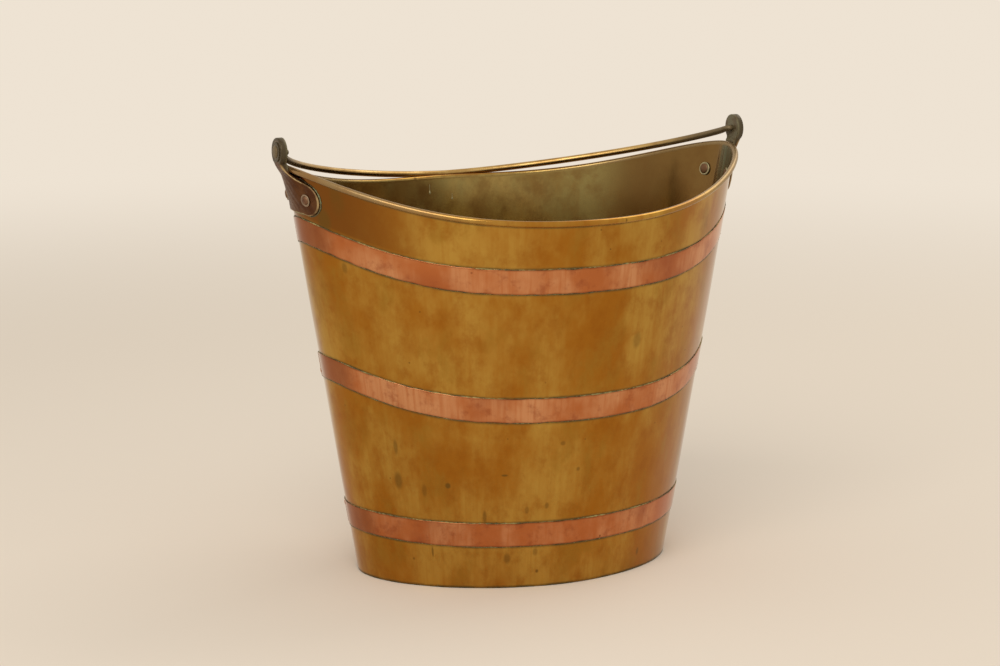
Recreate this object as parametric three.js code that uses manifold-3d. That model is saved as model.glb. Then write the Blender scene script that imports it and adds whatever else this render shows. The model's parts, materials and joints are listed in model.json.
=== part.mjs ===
// A boat-shaped brass fuel bucket with three copper bands and a round-rod swing handle.
//
// Millimetres, +Z up. X runs along the pointed length, through the handle's two pivots, and Y
// across. The origin is the middle of the flat underside. At rest the handle lies against the
// back rim, on the +Y side.

import * as THREE from "three";
import { mergeVertices } from "three/addons/utils/BufferGeometryUtils.js";
import Module from "manifold-3d";

const wasm = await Module();
wasm.setup();

// ---------------------------------------------------------------- driving dimensions

// Fits and facets
const seatGap = 0.3; // between pieces that touch
const cutReach = 3; // how far a hole's cutting cylinder runs past what it cuts
const stations = 80; // facets round the wall, even and a multiple of four
const wallRows = 5; // facets up the wall
const wireFacets = 8;
const pinFacets = 12;
const holeFacets = 16;
const ringFacets = 20;
const eyeFacets = 28;
const domeSteps = 4; // facets from the edge of a rounded head to its middle

// Wall: outer face of the sheet
const baseHalfLength = 135.3;
const baseHalfWidth = 96.9;
const baseFullness = 1.855; // exponent of the plan outline: 2 is an ellipse, less is more pointed
const rimHalfLength = 196.4;
const rimHalfWidth = 141.9;
const rimFullness = 1.709;
const outlineSoftness = 0.01; // rounds the outline off where its exponent would make a crease
const sideBelly = 2.4; // how far the long sides swell out at half height
const endHeight = 336.9; // middle of the rolled rim at the two pointed ends
const rimDip = 35.7; // how much lower the rim lies half way along each side
const rimSweep = 2.94; // how late the rim turns up towards the ends
const sheetThickness = 1.0;

// Rolled rim
const wireRadius = 1.2;
const rollEnd = -115; // degrees round the wire, 0 pointing outwards, where the rolled sheet stops

// Let-in bottom
const panFlange = 8; // height of its upturned edge
const panCorner = 3; // outside radius, cut as one chamfer

// Copper bands. A height is that of the lower edge half way along the sides, and a rise is how
// much higher that edge lies at the two ends.
const bandWidth = 19.7;
const bandThickness = 1.0;
const bandSweep = 3.7; // how late a band turns up towards the ends
const upperBandDrop = 3.7; // from the lugs' lobes down to the upper band's ends
const upperBandRise = 32.7;
const middleBandHeight = 139.6;
const middleBandRise = 25.4;
const lowerBandHeight = 35.2;
const lowerBandRise = 4.2;
const bandLapAngle = 157.5; // degrees in plan, where the strip starts: the left end, at the back
const bandLapStations = 2; // facets that the lapped ends overlap by
const pinShankRadius = 1.2;
const pinHeadRadius = 2.6;
const pinHeadHeight = 1.0;
const pinNearEdge = 0.25; // share of the band's width from its nearer edge to the pin

// Handle lugs
const pivotRise = 13.6; // from the middle of the rolled rim's ends up to the handle's pivots
const eyeOverhang = 9.1; // from the wall's outer face at the rim to the middle of the eye
const eyeRadius = 11.3;
const eyeThickness = 4.2;
const neckHalfWidth = 6.5;
const neckStraight = 2.2; // below the eye, before the neck spreads into the tail
const tailThickness = 3.3;
const lobeOffset = 19; // from the middle of the lug to each lobe's centre
const lobeDrop = 22.9; // from the middle of the rolled rim's ends down to the lobes' centres
const lobeRadius = 13;
const flankAngle = 70; // degrees round a lobe, 0 outwards, where the neck's curve meets it
const crotchAngle = -110; // and where the tail's lower edge leaves it
const crotchRise = 3.2; // how far the tail's lower edge dips in between the lobes
const flankPull = 9.1; // how far the neck's curve keeps a lobe's direction
const reliefRun = 2.6; // height in which the lug's back steps out over the rolled rim
const neckRun = 3.5; // height above the rim in which it steps back in to the eye
const flareDrop = 7; // the lug's front starts to lean out this far below the rim's middle
const leastLugThickness = 2;

// Lug rivets, and the ring burrs they are closed over inside
const rivetShankRadius = 2.5;
const rivetHeadRadius = 5;
const rivetHeadHeight = 2;
const rivetTailRadius = 3.5;
const rivetTailHeight = 0.9;
const burrRadius = 5.5;
const burrThickness = 1.0;

// Handle
const rodRadius = 2.75;
const rodFacets = 12;
const bowInset = 5.4; // from the eye's inner face in to the bow's widest point
const bowOverhang = 10.1; // how much further than the rim's half width the bow reaches
const bowFullness = 1.57;
const bendReach = 9; // where the bow leaves its curve to turn out into the eye
const shoulderRun = 1.2; // straight rod inside each eye
const tenonRadius = 2.2;
const headRadius = 5; // the end of the rod, spread over its washer
const headHeight = 1.5;
const headFlatRadius = 1.7; // the flat left in the middle of the spread end
const washerRadius = 8;
const washerThickness = 1.0;

// Sizes that follow from those above
const sideHeight = endHeight - rimDip;
const lobeHeight = endHeight - lobeDrop;
const pivotHeight = endHeight + pivotRise;
const eyeMiddle = rimHalfLength + eyeOverhang;
const eyeInnerX = eyeMiddle - eyeThickness / 2;
const eyeOuterX = eyeMiddle + eyeThickness / 2;
const bowHalfLength = eyeInnerX - bowInset;
const bowReach = rimHalfWidth + bowOverhang;
const upperBandTop = lobeHeight - lobeRadius - upperBandDrop;
const bands = [
  {
    name: "upper_band",
    low: upperBandTop - bandWidth - upperBandRise,
    rise: upperBandRise,
    pinAt: pinNearEdge,
  },
  { name: "middle_band", low: middleBandHeight, rise: middleBandRise, pinAt: pinNearEdge },
  { name: "lower_band", low: lowerBandHeight, rise: lowerBandRise, pinAt: 1 - pinNearEdge },
];

// ---------------------------------------------------------------- materials

function metal(color, roughness) {
  return new THREE.MeshStandardMaterial({ color, roughness, metalness: 1 });
}

const colours = {
  brass: 0xb08a3c,
  brassRod: 0xa08040,
  copper: 0xb0603a,
  bronze: 0x5a3a22,
  iron: 0x4a4642,
};

// ---------------------------------------------------------------- solids and meshes

const bucket = new THREE.Group();

function addMesh(parent, name, geometry, color, roughness) {
  const mesh = new THREE.Mesh(geometry, metal(color, roughness));
  mesh.name = name;
  parent.add(mesh);
  return mesh;
}

function geometryOf(points, index) {
  const geometry = new THREE.BufferGeometry();
  geometry.setFromPoints(points);
  geometry.setIndex(index);
  return geometry;
}

// Joins closed outlines, one per step of a path, into one solid. Each outline turns
// anticlockwise seen with the path going away from the eye.
function loft(outlines, closed) {
  const count = outlines[0].length;
  const steps = closed ? outlines.length : outlines.length - 1;
  const index = [];
  for (let i = 0; i < steps; i += 1) {
    const here = i * count;
    const next = ((i + 1) % outlines.length) * count;
    for (let j = 0; j < count; j += 1) {
      const k = (j + 1) % count;
      index.push(here + j, next + j, next + k);
      index.push(here + j, next + k, here + k);
    }
  }
  if (!closed) {
    const end = (outlines.length - 1) * count;
    for (let j = 1; j < count - 1; j += 1) {
      index.push(0, j, j + 1);
      index.push(end, end + j + 1, end + j);
    }
  }
  return geometryOf(outlines.flat(), index);
}

function solidOf(geometry) {
  const bare = geometry.clone();
  bare.deleteAttribute("normal");
  bare.deleteAttribute("uv");
  const merged = mergeVertices(bare, 1e-4);
  return new wasm.Manifold(
    new wasm.Mesh({
      numProp: 3,
      vertProperties: new Float32Array(merged.attributes.position.array),
      triVerts: new Uint32Array(merged.index.array),
    }),
  );
}

function geometryOfSolid(solid) {
  const mesh = solid.getMesh();
  const geometry = new THREE.BufferGeometry();
  const positions = new THREE.BufferAttribute(new Float32Array(mesh.vertProperties), 3);
  geometry.setAttribute("position", positions);
  geometry.setIndex(new THREE.BufferAttribute(new Uint32Array(mesh.triVerts), 1));
  return geometry;
}

// A cylinder from one point to another, for a hole or a shank.
function rodBetween(from, to, radius, sides) {
  const geometry = new THREE.CylinderGeometry(radius, radius, from.distanceTo(to), sides);
  const along = to.clone().sub(from).normalize();
  const turn = new THREE.Quaternion().setFromUnitVectors(new THREE.Vector3(0, 1, 0), along);
  geometry.applyQuaternion(turn);
  const middle = from.clone().add(to).multiplyScalar(0.5);
  geometry.translate(middle.x, middle.y, middle.z);
  return geometry;
}

// A turned piece on the axis that leaves the wall at a seat. The profile is (radius, height
// above the wall's outer face) from the lower end of the axis to the upper.
function turnedAt(seat, profile, sides) {
  const points = profile.map(([radius, height]) => new THREE.Vector2(radius, height));
  const geometry = new THREE.LatheGeometry(points, sides);
  const up = new THREE.Vector3(0, 1, 0);
  geometry.applyQuaternion(new THREE.Quaternion().setFromUnitVectors(up, seat.normal));
  geometry.translate(seat.point.x, seat.point.y, seat.point.z);
  return geometry;
}

function alongNormal(seat, height) {
  return seat.point.clone().addScaledVector(seat.normal, height);
}

// Profile of a rounded head, (radius, height), from its edge to the flat left in its middle.
function dome(radius, flatRadius, from, to) {
  const profile = [];
  for (let i = 0; i <= domeSteps; i += 1) {
    const turn = (Math.PI / 2) * (i / domeSteps);
    const reach = flatRadius + (radius - flatRadius) * Math.cos(turn);
    profile.push([i === domeSteps ? flatRadius : reach, mix(from, to, Math.sin(turn))]);
  }
  return profile;
}

function mix(a, b, k) {
  return a + (b - a) * k;
}

function ramp(value, from, to) {
  return Math.min(1, Math.max(0, (value - from) / (to - from)));
}

// ---------------------------------------------------------------- the wall's surface

const beadOut = wireRadius + seatGap; // the wire's middle stands this far outside the wall
const beadRadius = wireRadius + seatGap + sheetThickness;

function stationAngle(i) {
  return (2 * Math.PI * i) / stations;
}

// One coordinate of the plan outline, as a share of its half size, for the sine or cosine c of
// the plan angle: c to the power 2/n, softened near zero.
function swell(c, n) {
  const share = (c * c + outlineSoftness) / (1 + outlineSoftness);
  return c * share ** (1 / n - 0.5);
}

function swellSlope(c, n) {
  const share = (c * c + outlineSoftness) / (1 + outlineSoftness);
  const power = 1 / n - 0.5;
  return share ** power + (2 * c * c * power * share ** (power - 1)) / (1 + outlineSoftness);
}

function wallSize(z) {
  const k = z / endHeight;
  return {
    a: mix(baseHalfLength, rimHalfLength, k),
    b: mix(baseHalfWidth, rimHalfWidth, k) + sideBelly * 4 * k * (1 - k),
    n: mix(baseFullness, rimFullness, k),
  };
}

// The level direction that leaves the wall squarely at plan angle t and height z.
function wallOut(t, z) {
  const { a, b, n } = wallSize(z);
  const dx = -a * Math.sin(t) * swellSlope(Math.cos(t), n);
  const dy = b * Math.cos(t) * swellSlope(Math.sin(t), n);
  return new THREE.Vector3(dy, -dx, 0).normalize();
}

// A point on the wall's outer face, or the given distance outside it.
function wallPoint(t, z, out = 0) {
  const { a, b, n } = wallSize(z);
  const x = a * swell(Math.cos(t), n);
  const y = b * swell(Math.sin(t), n);
  return new THREE.Vector3(x, y, z).addScaledVector(wallOut(t, z), out);
}

function wallNormal(t, z) {
  const step = 0.5;
  const up = wallPoint(t, z + step).sub(wallPoint(t, z - step));
  const round = new THREE.Vector3(0, 0, 1).cross(wallOut(t, z));
  return round.cross(up).normalize();
}

// Height of a line that lies low along the sides and rises towards the two ends.
function sweptHeight(t, low, rise, sweep) {
  let z = low;
  for (let i = 0; i < 8; i += 1) {
    const along = Math.abs(swell(Math.cos(t), wallSize(z).n));
    z = low + rise * along ** sweep;
  }
  return z;
}

function rimHeight(t) {
  return sweptHeight(t, sideHeight, rimDip, rimSweep);
}

function beadMiddle(t) {
  return wallPoint(t, rimHeight(t), beadOut);
}

// A point at an angle round the wire's middle: 0 is outwards, 90 is up.
function beadPoint(t, radius, degrees) {
  const turn = THREE.MathUtils.degToRad(degrees);
  const point = beadMiddle(t);
  point.addScaledVector(wallOut(t, rimHeight(t)), radius * Math.cos(turn));
  point.z += radius * Math.sin(turn);
  return point;
}

// The plan angle, near the +X end, at which a line round the wall crosses a given y.
function angleAcross(y, lineAt) {
  let low = 0;
  let high = Math.PI / 2;
  for (let i = 0; i < 40; i += 1) {
    const middle = (low + high) / 2;
    if (lineAt(middle).y < Math.abs(y)) low = middle;
    else high = middle;
  }
  return low;
}

function wallX(y, z, out) {
  return wallPoint(angleAcross(y, (t) => wallPoint(t, z, out)), z, out).x;
}

// ---------------------------------------------------------------- lug seats

// The rivet seats on the wall: one in the middle of each lobe of each lug.
function rivetSeat(endSign, sideSign) {
  const t = angleAcross(lobeOffset, (angle) => wallPoint(angle, lobeHeight));
  const turn = new THREE.Vector3(endSign, sideSign, 1);
  return {
    point: wallPoint(t, lobeHeight).multiply(turn),
    normal: wallNormal(t, lobeHeight).multiply(turn),
  };
}

const ends = [
  { name: "left", sign: -1 },
  { name: "right", sign: 1 },
];
const sides = [
  { name: "front", sign: -1 },
  { name: "back", sign: 1 },
];

// ---------------------------------------------------------------- body shell

// Outline of the sheet at one station: up its outer face, round the inside of the roll, back
// round the outside of the roll, and down its inner face.
function shellOutline(t) {
  const rim = rimHeight(t);
  const outline = [];
  for (let row = 0; row < wallRows; row += 1) outline.push(wallPoint(t, (rim * row) / wallRows));
  const insideSteps = 6;
  for (let i = 0; i <= insideSteps; i += 1) {
    outline.push(beadPoint(t, beadOut, mix(180, rollEnd, i / insideSteps)));
  }
  const outsideSteps = 8;
  for (let i = 0; i <= outsideSteps; i += 1) {
    outline.push(beadPoint(t, beadRadius, mix(rollEnd, 180, i / outsideSteps)));
  }
  for (let row = wallRows - 1; row >= 0; row -= 1) {
    outline.push(wallPoint(t, (rim * row) / wallRows, -sheetThickness));
  }
  return outline;
}

function bodyShell() {
  const outlines = [];
  for (let i = 0; i < stations; i += 1) outlines.push(shellOutline(stationAngle(i)));
  let solid = solidOf(loft(outlines, true));
  for (const end of ends) {
    for (const side of sides) {
      const seat = rivetSeat(end.sign, side.sign);
      const from = alongNormal(seat, -sheetThickness - cutReach);
      const to = alongNormal(seat, cutReach);
      const hole = rodBetween(from, to, rivetShankRadius + seatGap, holeFacets);
      solid = solid.subtract(solidOf(hole));
    }
  }
  return geometryOfSolid(solid);
}

addMesh(bucket, "body_shell", bodyShell(), colours.brass, 0.2);

// ---------------------------------------------------------------- rim wire

function rimWire() {
  const outlines = [];
  for (let i = 0; i < stations; i += 1) {
    const outline = [];
    for (let j = 0; j < wireFacets; j += 1) {
      outline.push(beadPoint(stationAngle(i), wireRadius, (360 * j) / wireFacets));
    }
    outlines.push(outline);
  }
  return loft(outlines, true);
}

addMesh(bucket, "rim_wire", rimWire(), colours.iron, 0.6);

// ---------------------------------------------------------------- base pan

// Covers a level ring of points with strips that run straight across it.
function discIndex(first, facingUp) {
  const index = [];
  for (let i = 0; i < stations / 2; i += 1) {
    const near = first + i;
    const far = first + i + 1;
    const farAcross = first + ((stations - i - 1) % stations);
    const nearAcross = first + ((stations - i) % stations);
    const strip = [];
    if (far !== farAcross) strip.push([near, far, farAcross]);
    if (near !== nearAcross) strip.push([near, farAcross, nearAcross]);
    for (const [a, b, c] of strip) index.push(...(facingUp ? [a, b, c] : [a, c, b]));
  }
  return index;
}

function basePan() {
  const outside = -sheetThickness - seatGap;
  const inside = outside - sheetThickness;
  const rings = [
    [outside - panCorner, 0],
    [outside, panCorner],
    [outside, panFlange],
    [inside, panFlange],
    [inside, panCorner],
    [outside - panCorner, sheetThickness],
  ];
  const points = [];
  const index = [];
  rings.forEach(([out, z], ring) => {
    for (let i = 0; i < stations; i += 1) {
      points.push(wallPoint(stationAngle(i), z, out));
      const next = (i + 1) % stations;
      const here = ring * stations;
      const above = here + stations;
      if (ring < rings.length - 1) {
        index.push(here + i, here + next, above + next);
        index.push(here + i, above + next, above + i);
      }
    }
  });
  index.push(...discIndex(0, false));
  index.push(...discIndex((rings.length - 1) * stations, true));
  return geometryOf(points, index);
}

addMesh(bucket, "base_pan", basePan(), colours.brass, 0.35);

// ---------------------------------------------------------------- copper bands

const lapStation = Math.round((bandLapAngle / 360) * stations);
const lapLift = bandThickness + seatGap;

function bandEdge(band, t, share) {
  return sweptHeight(t, band.low + bandWidth * share, band.rise, bandSweep);
}

// The strip goes once round and laps over its own start.
function bandStrip(band) {
  const outlines = [];
  for (let i = 0; i <= stations + bandLapStations; i += 1) {
    const t = stationAngle(lapStation + i);
    const inner = seatGap + (i >= stations ? lapLift : 0);
    const outer = inner + bandThickness;
    const bottom = bandEdge(band, t, 0);
    const top = bandEdge(band, t, 1);
    outlines.push([
      wallPoint(t, bottom, inner),
      wallPoint(t, bottom, outer),
      wallPoint(t, top, outer),
      wallPoint(t, top, inner),
    ]);
  }
  return loft(outlines, false);
}

// A pin holds the lapped ends together.
function pinSeat(band) {
  const t = stationAngle(lapStation + bandLapStations / 2);
  const z = bandEdge(band, t, band.pinAt);
  return { point: wallPoint(t, z), normal: wallNormal(t, z) };
}

for (const band of bands) {
  const seat = pinSeat(band);
  const lapTop = seatGap + lapLift + bandThickness;
  const to = alongNormal(seat, lapTop + cutReach);
  const hole = rodBetween(seat.point, to, pinShankRadius + seatGap, pinFacets);
  const strip = solidOf(bandStrip(band)).subtract(solidOf(hole));
  addMesh(bucket, band.name, geometryOfSolid(strip), colours.copper, 0.25);
  const headSeat = lapTop + seatGap;
  const pin = turnedAt(
    seat,
    [
      [0, seatGap],
      [pinShankRadius, seatGap],
      [pinShankRadius, headSeat],
      ...dome(pinHeadRadius, 0, headSeat, headSeat + pinHeadHeight),
    ],
    pinFacets,
  );
  addMesh(bucket, band.name + "_pin", pin, colours.copper, 0.35);
}

// ---------------------------------------------------------------- handle lugs

// The lug at the +X end, as seen along X: two round lobes, flanks that draw in to a neck, and
// the eye above. Shape coordinates are (y, z).
function lugOutline() {
  const shape = new THREE.Shape();
  const neckHeight = pivotHeight - eyeRadius - neckStraight;
  const flank = THREE.MathUtils.degToRad(flankAngle);
  const crotch = THREE.MathUtils.degToRad(crotchAngle);
  const lobeAt = (angle) => [
    lobeOffset + lobeRadius * Math.cos(angle),
    lobeHeight + lobeRadius * Math.sin(angle),
  ];
  const [flankY, flankZ] = lobeAt(flank);
  const [crotchY, crotchZ] = lobeAt(crotch);
  const bendY = flankY - flankPull * Math.sin(flank);
  const bendZ = flankZ + flankPull * Math.cos(flank);
  const turnZ = neckHeight - flankPull / 2;
  shape.moveTo(neckHalfWidth, pivotHeight);
  shape.lineTo(neckHalfWidth, neckHeight);
  shape.bezierCurveTo(neckHalfWidth, turnZ, bendY, bendZ, flankY, flankZ);
  shape.absarc(lobeOffset, lobeHeight, lobeRadius, flank, crotch, true);
  shape.quadraticCurveTo(0, crotchZ + crotchRise, -crotchY, crotchZ);
  shape.absarc(-lobeOffset, lobeHeight, lobeRadius, Math.PI - crotch, Math.PI - flank, true);
  shape.bezierCurveTo(-bendY, bendZ, -neckHalfWidth, turnZ, -neckHalfWidth, neckHeight);
  shape.lineTo(-neckHalfWidth, pivotHeight);
  shape.closePath();
  return shape;
}

// The outline stretched into a block along X.
function outlineBlock(fromX, toX) {
  const geometry = new THREE.ExtrudeGeometry(lugOutline(), {
    depth: toX - fromX,
    bevelEnabled: false,
    curveSegments: 8,
  });
  const turn = new THREE.Matrix4().set(0, 0, 1, fromX, 1, 0, 0, 0, 0, 1, 0, 0, 0, 0, 0, 1);
  geometry.applyMatrix4(turn);
  return geometry;
}

const reliefEnd = endHeight - beadRadius - seatGap; // the lug's back is clear of the rim from here
const reliefStart = reliefEnd - reliefRun;
const beadTop = endHeight + beadRadius + seatGap;
const neckEnd = beadTop + neckRun;

function lugBackX(y, z) {
  const onWall = wallX(y, Math.min(z, endHeight), seatGap);
  const bead = beadMiddle(angleAcross(y, beadMiddle)).x + beadRadius + seatGap;
  const cleared = mix(onWall, bead, ramp(z, reliefStart, reliefEnd));
  return mix(cleared, eyeInnerX, ramp(z, beadTop, neckEnd));
}

function lugFrontX(y, z) {
  const onWall = wallX(y, Math.min(z, endHeight), seatGap + tailThickness);
  const rise = ramp(z, endHeight - flareDrop, neckEnd);
  const front = mix(onWall, eyeOuterX, rise * rise * (3 - 2 * rise));
  return Math.max(front, lugBackX(y, z) + leastLugThickness);
}

// A slab between the lug's back and front surfaces, wide enough to hold its outline.
const slabHalfWidth = lobeOffset + lobeRadius + cutReach;
const slabBottom = lobeHeight - lobeRadius - cutReach;

function lugSlab() {
  const columns = 12;
  const heights = [];
  const tailRows = 6;
  for (let i = 0; i < tailRows; i += 1) heights.push(mix(slabBottom, reliefStart, i / tailRows));
  heights.push(reliefStart, reliefEnd, endHeight, beadTop, neckEnd, pivotHeight - eyeRadius / 3);
  const outlines = heights.map((z) => {
    const back = [];
    const front = [];
    for (let i = 0; i <= columns; i += 1) {
      const y = mix(-slabHalfWidth, slabHalfWidth, i / columns);
      back.push(new THREE.Vector3(lugBackX(y, z), y, z));
      front.push(new THREE.Vector3(lugFrontX(y, z), y, z));
    }
    return { back, front };
  });
  const across = columns + 1;
  const points = outlines.flatMap(({ back, front }) => [...back, ...front]);
  const index = [];
  const quad = (a, b, c, d) => index.push(a, b, c, a, c, d);
  outlines.forEach((_, row) => {
    const here = row * 2 * across;
    const above = here + 2 * across;
    if (row === outlines.length - 1) return;
    for (let i = 0; i < columns; i += 1) {
      quad(here + i, above + i, above + i + 1, here + i + 1);
      const f = across;
      quad(here + f + i, here + f + i + 1, above + f + i + 1, above + f + i);
    }
    quad(here, here + across, above + across, above);
    quad(here + columns, above + columns, above + across + columns, here + across + columns);
  });
  const top = (outlines.length - 1) * 2 * across;
  for (let i = 0; i < columns; i += 1) {
    quad(i, i + 1, across + i + 1, across + i);
    quad(top + i, top + across + i, top + across + i + 1, top + i + 1);
  }
  return geometryOf(points, index);
}

function lug() {
  const onPivot = (x) => new THREE.Vector3(x, 0, pivotHeight);
  const blockStart = lugBackX(slabHalfWidth, slabBottom) - cutReach;
  const block = solidOf(outlineBlock(blockStart, eyeOuterX + cutReach));
  const plate = solidOf(lugSlab()).intersect(block);
  const eye = solidOf(rodBetween(onPivot(eyeInnerX), onPivot(eyeOuterX), eyeRadius, eyeFacets));
  const boreStart = onPivot(eyeInnerX - cutReach);
  const boreEnd = onPivot(eyeOuterX + cutReach);
  const bore = rodBetween(boreStart, boreEnd, tenonRadius + seatGap, holeFacets);
  let solid = plate.add(eye).subtract(solidOf(bore));
  for (const side of sides) {
    const seat = rivetSeat(1, side.sign);
    const from = alongNormal(seat, -cutReach);
    const to = alongNormal(seat, tailThickness + cutReach);
    const hole = rodBetween(from, to, rivetShankRadius + seatGap, holeFacets);
    solid = solid.subtract(solidOf(hole));
  }
  return geometryOfSolid(solid);
}

const lugGeometry = lug();
for (const end of ends) {
  const mesh = addMesh(bucket, "lug_" + end.name, lugGeometry.clone(), colours.bronze, 0.45);
  mesh.rotation.z = end.sign > 0 ? 0 : Math.PI;
}

// ---------------------------------------------------------------- rivets and burrs

// The burr is flat and the wall's inner face hollow, so it stands off by the hollow's depth.
function hollowDepth(radius) {
  const t = angleAcross(lobeOffset, (angle) => wallPoint(angle, lobeHeight));
  const step = 0.02;
  const turned = wallOut(t - step, lobeHeight).angleTo(wallOut(t + step, lobeHeight));
  const walked = wallPoint(t - step, lobeHeight).distanceTo(wallPoint(t + step, lobeHeight));
  const bendRadius = walked / turned;
  return (radius * radius) / (2 * bendRadius);
}

const burrTop = -(sheetThickness + seatGap + hollowDepth(burrRadius));
const burrBottom = burrTop - burrThickness;
const tailTop = burrBottom - seatGap;
const tailBottom = tailTop - rivetTailHeight;
const headBottom = seatGap + tailThickness + seatGap;
const headTop = headBottom + rivetHeadHeight;

for (const end of ends) {
  for (const side of sides) {
    const seat = rivetSeat(end.sign, side.sign);
    const place = end.name + "_" + side.name;
    const rivet = turnedAt(
      seat,
      [
        ...dome(rivetTailRadius, 0, tailTop, tailBottom).reverse(),
        [rivetShankRadius, tailTop],
        [rivetShankRadius, headBottom],
        ...dome(rivetHeadRadius, 0, headBottom, headTop),
      ],
      holeFacets,
    );
    addMesh(bucket, "rivet_" + place, rivet, colours.copper, 0.4);
    const bore = rivetShankRadius + seatGap;
    const burr = turnedAt(
      seat,
      [
        [bore, burrBottom],
        [burrRadius, burrBottom],
        [burrRadius, burrTop],
        [bore, burrTop],
        [bore, burrBottom],
      ],
      ringFacets,
    );
    addMesh(bucket, "burr_" + place, burr, colours.brass, 0.4);
  }
}

// ---------------------------------------------------------------- handle

// The handle is drawn flat, reaching out along +Y from its pivot line on the X axis.
const shoulderX = eyeInnerX - seatGap;
const washerInnerX = eyeOuterX + seatGap;
const washerOuterX = washerInnerX + washerThickness;
const headInnerX = washerOuterX + seatGap;
const headOuterX = headInnerX + headHeight;

function bowPoint(t) {
  const x = bowHalfLength * swell(Math.cos(t), bowFullness);
  const y = bowReach * swell(Math.sin(t), bowFullness);
  return new THREE.Vector3(x, y, 0);
}

// Middle line of the rod, from the left shoulder round the bow to the right shoulder.
function bowLine() {
  const leave = angleAcross(bendReach, bowPoint);
  const turnIn = new THREE.Vector3(shoulderX - shoulderRun, 0, 0);
  const corner = new THREE.Vector3(bowPoint(leave).x, 0, 0);
  const bend = new THREE.QuadraticBezierCurve3(turnIn, corner, bowPoint(leave));
  const bendSteps = 5;
  const half = [new THREE.Vector3(shoulderX, 0, 0)];
  for (let i = 0; i < bendSteps; i += 1) half.push(bend.getPoint(i / bendSteps));
  const bowSteps = 20;
  for (let i = 0; i < bowSteps; i += 1) {
    half.push(bowPoint(mix(leave, Math.PI / 2, i / bowSteps)));
  }
  const mirror = half.map((point) => new THREE.Vector3(-point.x, point.y, 0));
  return [...mirror, bowPoint(Math.PI / 2), ...half.reverse()];
}

// Rings of the rod: its middle, its direction and its radius.
function handleRings() {
  const line = bowLine();
  const rings = line.map((point, i) => {
    const before = line[Math.max(i - 1, 0)];
    const after = line[Math.min(i + 1, line.length - 1)];
    const along = after.clone().sub(before);
    const square = i === 0 || i === line.length - 1;
    return { point, along: square ? new THREE.Vector3(1, 0, 0) : along, radius: rodRadius };
  });
  const end = [
    [tenonRadius, shoulderX],
    [tenonRadius, headInnerX],
    ...dome(headRadius, headFlatRadius, headInnerX, headOuterX),
  ];
  const right = end.map(([radius, x]) => ({
    point: new THREE.Vector3(x, 0, 0),
    along: new THREE.Vector3(1, 0, 0),
    radius,
  }));
  const left = right.map((ring) => ({
    ...ring,
    point: new THREE.Vector3(-ring.point.x, 0, 0),
  }));
  return [...left.reverse(), ...rings, ...right];
}

function handleRod() {
  const outlines = handleRings().map(({ point, along, radius }) => {
    const level = new THREE.Vector3(along.y, -along.x, 0).normalize();
    const outline = [];
    for (let j = 0; j < rodFacets; j += 1) {
      const turn = (2 * Math.PI * j) / rodFacets;
      const around = point.clone().addScaledVector(level, radius * Math.cos(turn));
      around.z += radius * Math.sin(turn);
      outline.push(around);
    }
    return outline;
  });
  return loft(outlines, false);
}

// How far the handle drops below level before its rod meets the rolled rim.
function restAngle() {
  const rimSamples = 400;
  const rim = [];
  for (let i = 0; i <= rimSamples; i += 1) rim.push(beadMiddle((Math.PI * i) / rimSamples));
  const bowSamples = 100;
  const bow = [];
  for (let i = 1; i < bowSamples; i += 1) bow.push(bowPoint((Math.PI * i) / bowSamples));
  const touching = beadRadius + rodRadius + seatGap;
  const clearAt = (drop) =>
    bow.every(({ x, y }) => {
      const point = new THREE.Vector3(x, y * Math.cos(drop), pivotHeight - y * Math.sin(drop));
      return rim.every((middle) => middle.distanceTo(point) > touching);
    });
  const searchStep = 0.01;
  let clear = 0;
  let met = 0;
  while (clearAt(met) && met < Math.PI / 2) {
    clear = met;
    met += searchStep;
  }
  for (let i = 0; i < 20; i += 1) {
    const middle = (clear + met) / 2;
    if (clearAt(middle)) clear = middle;
    else met = middle;
  }
  return clear;
}

const handle = new THREE.Group();
handle.position.z = pivotHeight;
handle.rotation.x = -restAngle();
addMesh(handle, "bail", handleRod(), colours.brassRod, 0.25);

for (const end of ends) {
  const bore = tenonRadius + seatGap;
  const points = [
    [bore, washerInnerX],
    [washerRadius, washerInnerX],
    [washerRadius, washerOuterX],
    [bore, washerOuterX],
    [bore, washerInnerX],
  ].map(([radius, height]) => new THREE.Vector2(radius, height));
  const washer = new THREE.LatheGeometry(points, ringFacets);
  washer.rotateZ((-end.sign * Math.PI) / 2);
  addMesh(handle, "bail_washer_" + end.name, washer, colours.bronze, 0.4);
}

// ---------------------------------------------------------------- assembly

const restDegrees = THREE.MathUtils.radToDeg(restAngle());
console.log("handle rests " + restDegrees.toFixed(2) + " degrees below level");
console.log("handle swings " + (180 + 2 * restDegrees).toFixed(2) + " degrees, from rim to rim");

const scuttle = new THREE.Group();
scuttle.add(bucket, handle);

export default scuttle;
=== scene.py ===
# %% [markdown]
# # A boat-shaped brass bucket with copper bands
#
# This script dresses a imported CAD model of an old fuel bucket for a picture. The bucket is a
# tapering sheet brass wall with a pointed oval plan, three copper bands, a rim rolled over an iron
# wire, two cast lugs at the pointed ends and a round-rod handle that swings in them.
# The CAD model is loaded first and stays where it is. Every piece made here is in the same frame:
# X along the pointed length, +Y towards the rim that the handle rests on, Z up.

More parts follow.
